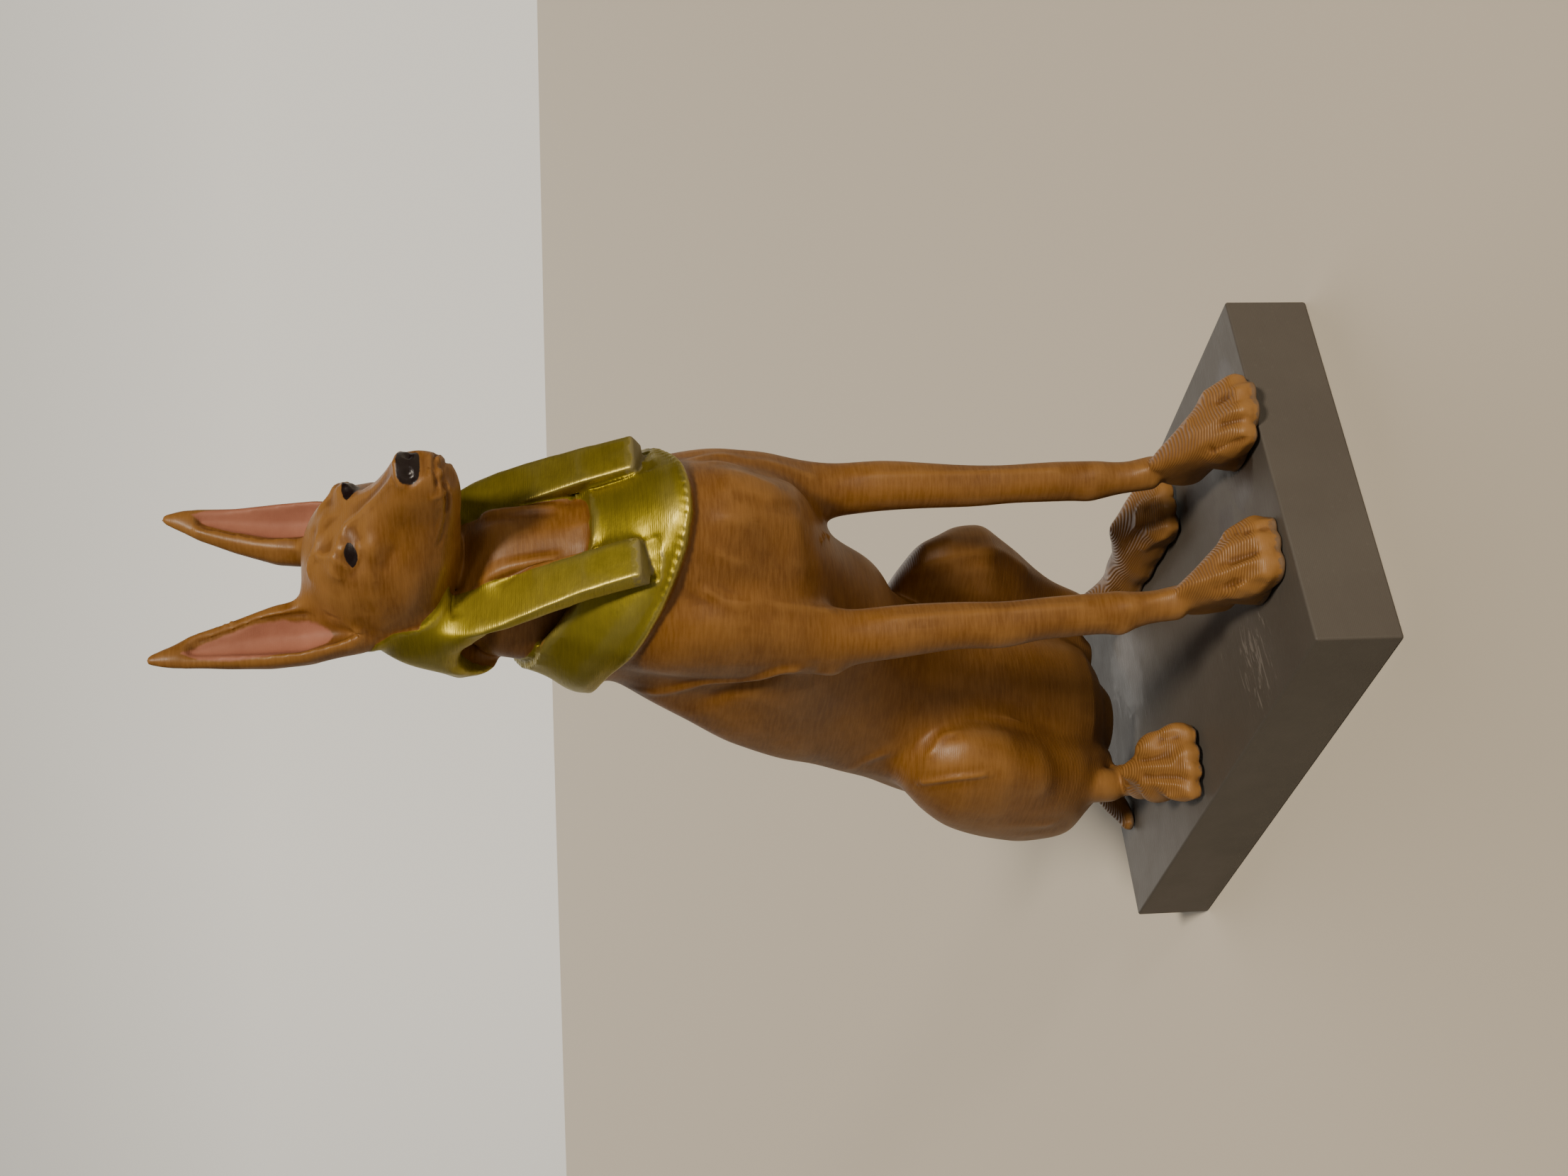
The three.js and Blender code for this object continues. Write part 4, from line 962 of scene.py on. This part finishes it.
def grey_plastic(look):
    """Bare grey print with scuffs, and dark patches round the paws and under the rump that are partly paint that ran
    off the figure and partly painted shadow.
    """
    s = Shader("grey_print")
    turns = 2 * math.pi / LAYER
    cloudy = s.noise(60, 4.0, 0.6).step(0.3, 0.7)
    speck = s.noise(1500, 2.0, 0.6).step(0.62, 0.8)
    base = s.mix(cloudy * 0.45, colour(look.grey), colour(look.grey_deep))
    base = s.mix(speck * 0.12, base, colour(look.grey_pale))
    top = s.z.step(PLINTH_HIGH.z - 0.25 * MM, PLINTH_HIGH.z - 0.1 * MM)
    smear = s.noise(240, 4.0, 0.7, warp=1.2)
    def spot(x, y, radius):
        dx = s.x * PER_MM - x
        dy = s.y * PER_MM - y
        return (1 - (dx * dx + dy * dy) * (1 / radius ** 2)).most(0.0)
    # Dark patches round the paws and under the rump: partly paint that ran onto the plinth, partly painted shadow of
    # the legs and body.
    paws = spot(3.0, -27.5, 5.0).most(spot(1.0, -21.0, 4.0)).most(spot(14.0, -29.0, 4.5)).most(spot(6.0, 20.0, 9.0))
    stain_and_shadow = ((paws * 0.5 + smear - 0.66) * 3.0).step(0.0, 0.7) * top
    base = s.mix(stain_and_shadow * 0.8, base, colour(look.stain_and_shadow))
    scratch = s.noise(520, 3.0, 0.7, (0.35, 1.6, 1.0), 2.0)
    scuffs = spot(-15.5, -19.5, 7.5).most(spot(-10.0, -12.0, 4.0) * 0.6)
    worn = (scratch + scuffs * 0.22 - 0.7).step(0.0, 0.12) * top * scuffs.step(0.0, 0.3)
    base = s.mix(worn * 0.55, base, colour(look.grey_worn))
    gloss = 0.5 + s.noise(300, 3.0, 0.6) * 0.16 - stain_and_shadow * 0.1
    sides = (s.z * turns).sine() * (1 - top)
    raster = ((s.x + s.y) * (2 * math.pi / (0.42 * MM * 1.414))).sine() * top * 0.5
    normal = s.bump(sides * 0.5 + raster * 0.5, 0.015 * MM, 0.6)
    normal = s.bump(scratch * top + s.noise(900, 3.0, 0.6) * 0.6, 0.08 * MM, 0.5, normal)
    return s.finish(Base_Color=base, Roughness=gloss, Normal=normal, IOR=1.48)


def pale_floor(look):
    s = Shader("pale_floor")
    shade = s.noise(6, 2.0, 0.5)
    base = s.mix(shade * 0.12, colour(look.floor), colour([c * 0.96 for c in look.floor]))
    return s.finish(Base_Color=base, Roughness=0.75)


def studio_world():
    """A room that is pale behind the statue, and dimmer overhead and beside the camera."""
    world = bpy.data.worlds.new("studio")
    world.use_nodes = True
    tree = world.node_tree
    place = tree.nodes.new("ShaderNodeTexCoord")
    height = tree.nodes.new("ShaderNodeSeparateXYZ")
    behind = tree.nodes.new("ShaderNodeVectorMath")
    behind.operation = "DOT_PRODUCT"
    behind.inputs[1].default_value = (0.62, 0.78, 0.0)
    tree.links.new(place.outputs["Generated"], height.inputs["Vector"])
    tree.links.new(place.outputs["Generated"], behind.inputs[0])
    tones = []
    for source, stops in (
        (height.outputs["Z"], ((0.12, (1.0, 1.0, 1.0)), (0.6, (0.15, 0.15, 0.16)))),
        (behind.outputs["Value"], ((0.55, (0.1, 0.092, 0.08)), (0.96, (1.0, 0.93, 0.8)))),
    ):
        ramp = tree.nodes.new("ShaderNodeValToRGB")
        for element, (position, tone) in zip(ramp.color_ramp.elements, stops):
            element.position = position
            element.color = colour(tone)
        tree.links.new(source, ramp.inputs["Fac"])
        tones.append(ramp.outputs["Color"])
    product = tree.nodes.new("ShaderNodeMix")
    product.data_type = "RGBA"
    product.blend_type = "MULTIPLY"
    product.inputs[0].default_value = 1.0
    tree.links.new(tones[0], product.inputs[6])
    tree.links.new(tones[1], product.inputs[7])
    tree.links.new(product.outputs[2], tree.nodes["Background"].inputs["Color"])
    return world


# ---------------------------------------------------------------- settings


def paint_property(name, text, value):
    return FloatVectorProperty(
        name=name, description=text, default=value, subtype="COLOR", size=3, min=0.0, max=1.0
    )


class AnubisPaints(PropertyGroup):
    brown: paint_property("Brown", "Main coat of the animal", (0.175, 0.07, 0.007))
    # Also used for the painted shade in creases and in the layer grooves low on the legs.
    brown_deep_and_shade: paint_property("Deep brown", "Thicker paint and creases", (0.095, 0.032, 0.003))
    # Also used for the painted highlight on ridges and the painted sheen on upward faces of the head.
    brown_pale_and_sheen: paint_property("Pale brown", "Thin paint on ridges", (0.3, 0.15, 0.042))
    gold: paint_property("Gold", "Headcloth and collar", (0.27, 0.215, 0.012))
    # Also used for the painted shade on the cloth's far side, its lower sides and its creases.
    gold_deep_and_shade: paint_property("Deep gold", "Headcloth between its streaks", (0.16, 0.125, 0.006))
    # Also used for the painted highlight on the near strap.
    gold_pale_and_highlight: paint_property("Pale gold", "Bright streaks", (0.42, 0.35, 0.04))
    # Partly a painted highlight on the cloth's ridges.
    gold_worn_and_highlight: paint_property("Worn gold", "Rubbed edges of the cloth", (0.42, 0.36, 0.12))
    pink: paint_property("Pink", "Inside the ears", (0.33, 0.135, 0.085))
    pink_deep: paint_property("Deep pink", "Shaded pink", (0.27, 0.1, 0.06))
    black: paint_property("Black", "Eyes and nose", (0.009, 0.004, 0.004))
    grey: paint_property("Grey", "Bare plastic", (0.083, 0.073, 0.061))
    grey_deep: paint_property("Deep grey", "Shaded plastic", (0.06, 0.052, 0.043))
    grey_pale: paint_property("Pale grey", "Specks in the plastic", (0.16, 0.145, 0.125))
    grey_worn: paint_property("Scuffed grey", "Scratches on the plinth", (0.22, 0.2, 0.175))
    # Also used for the painted shadow on the plinth round the paws and under the rump.
    stain_and_shadow: paint_property("Stain", "Paint that ran onto the plinth", (0.03, 0.018, 0.01))
    floor: paint_property("Floor", "Pale floor of the studio", (0.68, 0.62, 0.52))
    layers: FloatProperty(
        name="Layer lines", description="Strength of the print's layer lines", default=0.8, min=0.0, max=2.0
    )


class AnubisForm(PropertyGroup):
    pitch: FloatProperty(
        name="Clay pitch", description="Mesh size of the figure while it is worked", default=0.24 * MM,
        min=0.1 * MM, max=1.0 * MM, precision=5, subtype="DISTANCE", unit="LENGTH",
    )
    faces: FloatProperty(
        name="Most triangles", description="Triangles that the finished figure keeps", default=190000, min=10000
    )
    plinth_edge: FloatProperty(
        name="Plinth edge", description="Radius of the plinth's edges", default=0.3 * MM,
        min=0.05 * MM, max=1.0 * MM, precision=5, subtype="DISTANCE", unit="LENGTH",
    )


class AnubisStage(PropertyGroup):
    floor_radius: FloatProperty(
        name="Floor radius", description="Half width of the floor", default=4.0, min=0.5,
        subtype="DISTANCE", unit="LENGTH",
    )
    lens: FloatProperty(
        name="Lens", description="Focal length of the camera in millimetres", default=45.94, min=10.0
    )
    key: FloatProperty(name="Key light", description="Strength of the main light", default=3.25, min=0.0)
    gleam: FloatProperty(name="Gleam", description="Strength of the low light at the front", default=0.45, min=0.0)
    fill: FloatProperty(name="Fill light", description="Strength of the soft light at the left", default=0.12, min=0.0)
    back: FloatProperty(name="Back light", description="Strength of the soft light behind", default=0.6, min=0.0)


def place_piece(name, mesh, node):
    """Puts a finished mesh in the scene in place of a CAD node."""
    piece = bpy.data.objects.new(name, mesh)
    bpy.context.scene.collection.objects.link(piece)
    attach(piece, "root")
    if node:
        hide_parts(node)
    return piece


# ---------------------------------------------------------------- operators


class ANUBIS_OT_figure(Operator):
    """Sculpt the sitting animal with its headcloth and collar"""

    bl_idname = "anubis.figure"
    bl_label = "Sculpt the figure"

    def execute(self, context):
        form = context.scene.anubis_form
        pitch = form.pitch * PER_MM
        rough = add_clay(merged_copy("figure", "figure_clay"))
        dense = with_modifier(rough, "REMESH", mode="VOXEL", voxel_size=pitch, adaptivity=0.0)
        if len(dense.polygons) < 1000:
            raise RuntimeError("the figure was lost while it was made dense")
        clay = Clay(dense, pitch)
        shape_cloth(clay)
        soften_figure(clay)
        carve_head(clay)
        carve_ears(clay)
        carve_neck(clay)
        carve_body(clay)
        carve_hind_legs(clay)
        carve_forelegs(clay)
        carve_cloth(clay)
        clay.write()
        triangles = 2 * len(dense.polygons)
        if triangles > form.faces:
            dense = with_modifier(dense, "DECIMATE", ratio=form.faces / triangles)
        paint_figure(dense)
        unit_mesh(dense)
        dense.shade_smooth()
        dense.materials.append(painted_plastic(context.scene.anubis_paints))
        place_piece("figure_painted", dense, "figure")
        return {"FINISHED"}


class ANUBIS_OT_plinth(Operator):
    """Model the grey plinth with its softened edges"""

    bl_idname = "anubis.plinth"
    bl_label = "Model the plinth"

    def execute(self, context):
        form = context.scene.anubis_form
        size = PLINTH_HIGH - PLINTH_LOW
        middle = (PLINTH_HIGH + PLINTH_LOW) / 2
        work = bmesh.new()
        bmesh.ops.create_cube(work, size=1.0, matrix=Matrix.Translation(middle) @ Matrix.Diagonal((*size, 1.0)))
        bmesh.ops.bevel(
            work, geom=list(work.edges), offset=form.plinth_edge, offset_type="OFFSET", affect="EDGES",
            segments=3, profile=0.5, material=-1,
        )
        mesh = bpy.data.meshes.new("plinth_block")
        work.to_mesh(mesh)
        work.free()
        mesh.shade_smooth()
        mesh.materials.append(grey_plastic(context.scene.anubis_paints))
        piece = place_piece("plinth_block", mesh, "plinth")
        sharp = piece.modifiers.new("Even shading", "WEIGHTED_NORMAL")
        sharp.keep_sharp = True
        return {"FINISHED"}


class ANUBIS_OT_stage(Operator):
    """Set the floor, the lights and the camera"""

    bl_idname = "anubis.stage"
    bl_label = "Set the stage"

    def execute(self, context):
        stage = context.scene.anubis_stage
        work = bmesh.new()
        bmesh.ops.create_circle(work, cap_ends=True, segments=64, radius=stage.floor_radius)
        bmesh.ops.translate(work, vec=(0, 0, -0.02 * MM), verts=work.verts)
        mesh = bpy.data.meshes.new("floor")
        work.to_mesh(mesh)
        work.free()
        mesh.materials.append(pale_floor(context.scene.anubis_paints))
        floor = bpy.data.objects.new("floor", mesh)
        context.scene.collection.objects.link(floor)
        lights = (
            ("key", (-0.2, -0.74, 0.64), stage.key, 9.0, (1.0, 0.88, 0.72)),
            ("gleam", (-0.08, -0.95, 0.22), stage.gleam, 5.0, (1.0, 0.92, 0.8)),
            ("fill", (-0.6, 0.1, 0.8), stage.fill, 70.0, (1.0, 0.96, 0.9)),
            ("back", (0.5, 0.72, 0.48), stage.back, 50.0, (1.0, 0.96, 0.9)),
        )
        for name, towards, power, spread, tint in lights:
            lamp = bpy.data.lights.new(name, "SUN")
            lamp.angle = math.radians(spread)
            lamp.energy = power
            lamp.color = tint
            thing = bpy.data.objects.new(name, lamp)
            context.scene.collection.objects.link(thing)
            thing.rotation_euler = Vector(towards).to_track_quat("Z", "Y").to_euler()
        context.scene.world = studio_world()
        lens = bpy.data.cameras.new("camera")
        lens.sensor_width = 36.0
        lens.sensor_fit = "HORIZONTAL"
        lens.lens = stage.lens
        lens.clip_start = 0.01
        camera = bpy.data.objects.new("camera", lens)
        context.scene.collection.objects.link(camera)
        # The camera is turned on its side, so the statue lies across the picture.
        right = Vector((-0.0934, -0.1033, -0.9903)).normalized()
        back = Vector((-0.5205, -0.8428, 0.1370)).normalized()
        up = back.cross(right).normalized()
        right = up.cross(back)
        place = Matrix((right, up, back)).transposed().to_4x4()
        place.translation = Vector((-115.8, -199.7, 88.7)) * MM
        camera.matrix_world = place
        context.scene.camera = camera
        return {"FINISHED"}


class ANUBIS_PT_sidebar(Panel):
    """Lists the steps that build the souvenir"""

    bl_idname = "ANUBIS_PT_sidebar"
    bl_label = "Anubis souvenir"
    bl_space_type = "VIEW_3D"
    bl_region_type = "UI"
    bl_category = "Anubis"

    def draw(self, context):
        column = self.layout.column(align=True)
        for step in STEPS:
            column.operator(step.bl_idname)
        for group in (context.scene.anubis_form, context.scene.anubis_paints, context.scene.anubis_stage):
            box = self.layout.box()
            for key in group.__annotations__:
                box.prop(group, key)


STEPS = (ANUBIS_OT_stage, ANUBIS_OT_figure, ANUBIS_OT_plinth)
CLASSES = (AnubisPaints, AnubisForm, AnubisStage, *STEPS, ANUBIS_PT_sidebar)


def register():
    for cls in CLASSES:
        bpy.utils.register_class(cls)
    bpy.types.Scene.anubis_paints = PointerProperty(type=AnubisPaints)
    bpy.types.Scene.anubis_form = PointerProperty(type=AnubisForm)
    bpy.types.Scene.anubis_stage = PointerProperty(type=AnubisStage)


def unregister():
    del bpy.types.Scene.anubis_stage
    del bpy.types.Scene.anubis_form
    del bpy.types.Scene.anubis_paints
    for cls in reversed(CLASSES):
        bpy.utils.unregister_class(cls)


def main():
    register()
    bpy.ops.anubis.stage()
    bpy.ops.anubis.figure()
    bpy.ops.anubis.plinth()


if __name__ == "__main__":
    main()
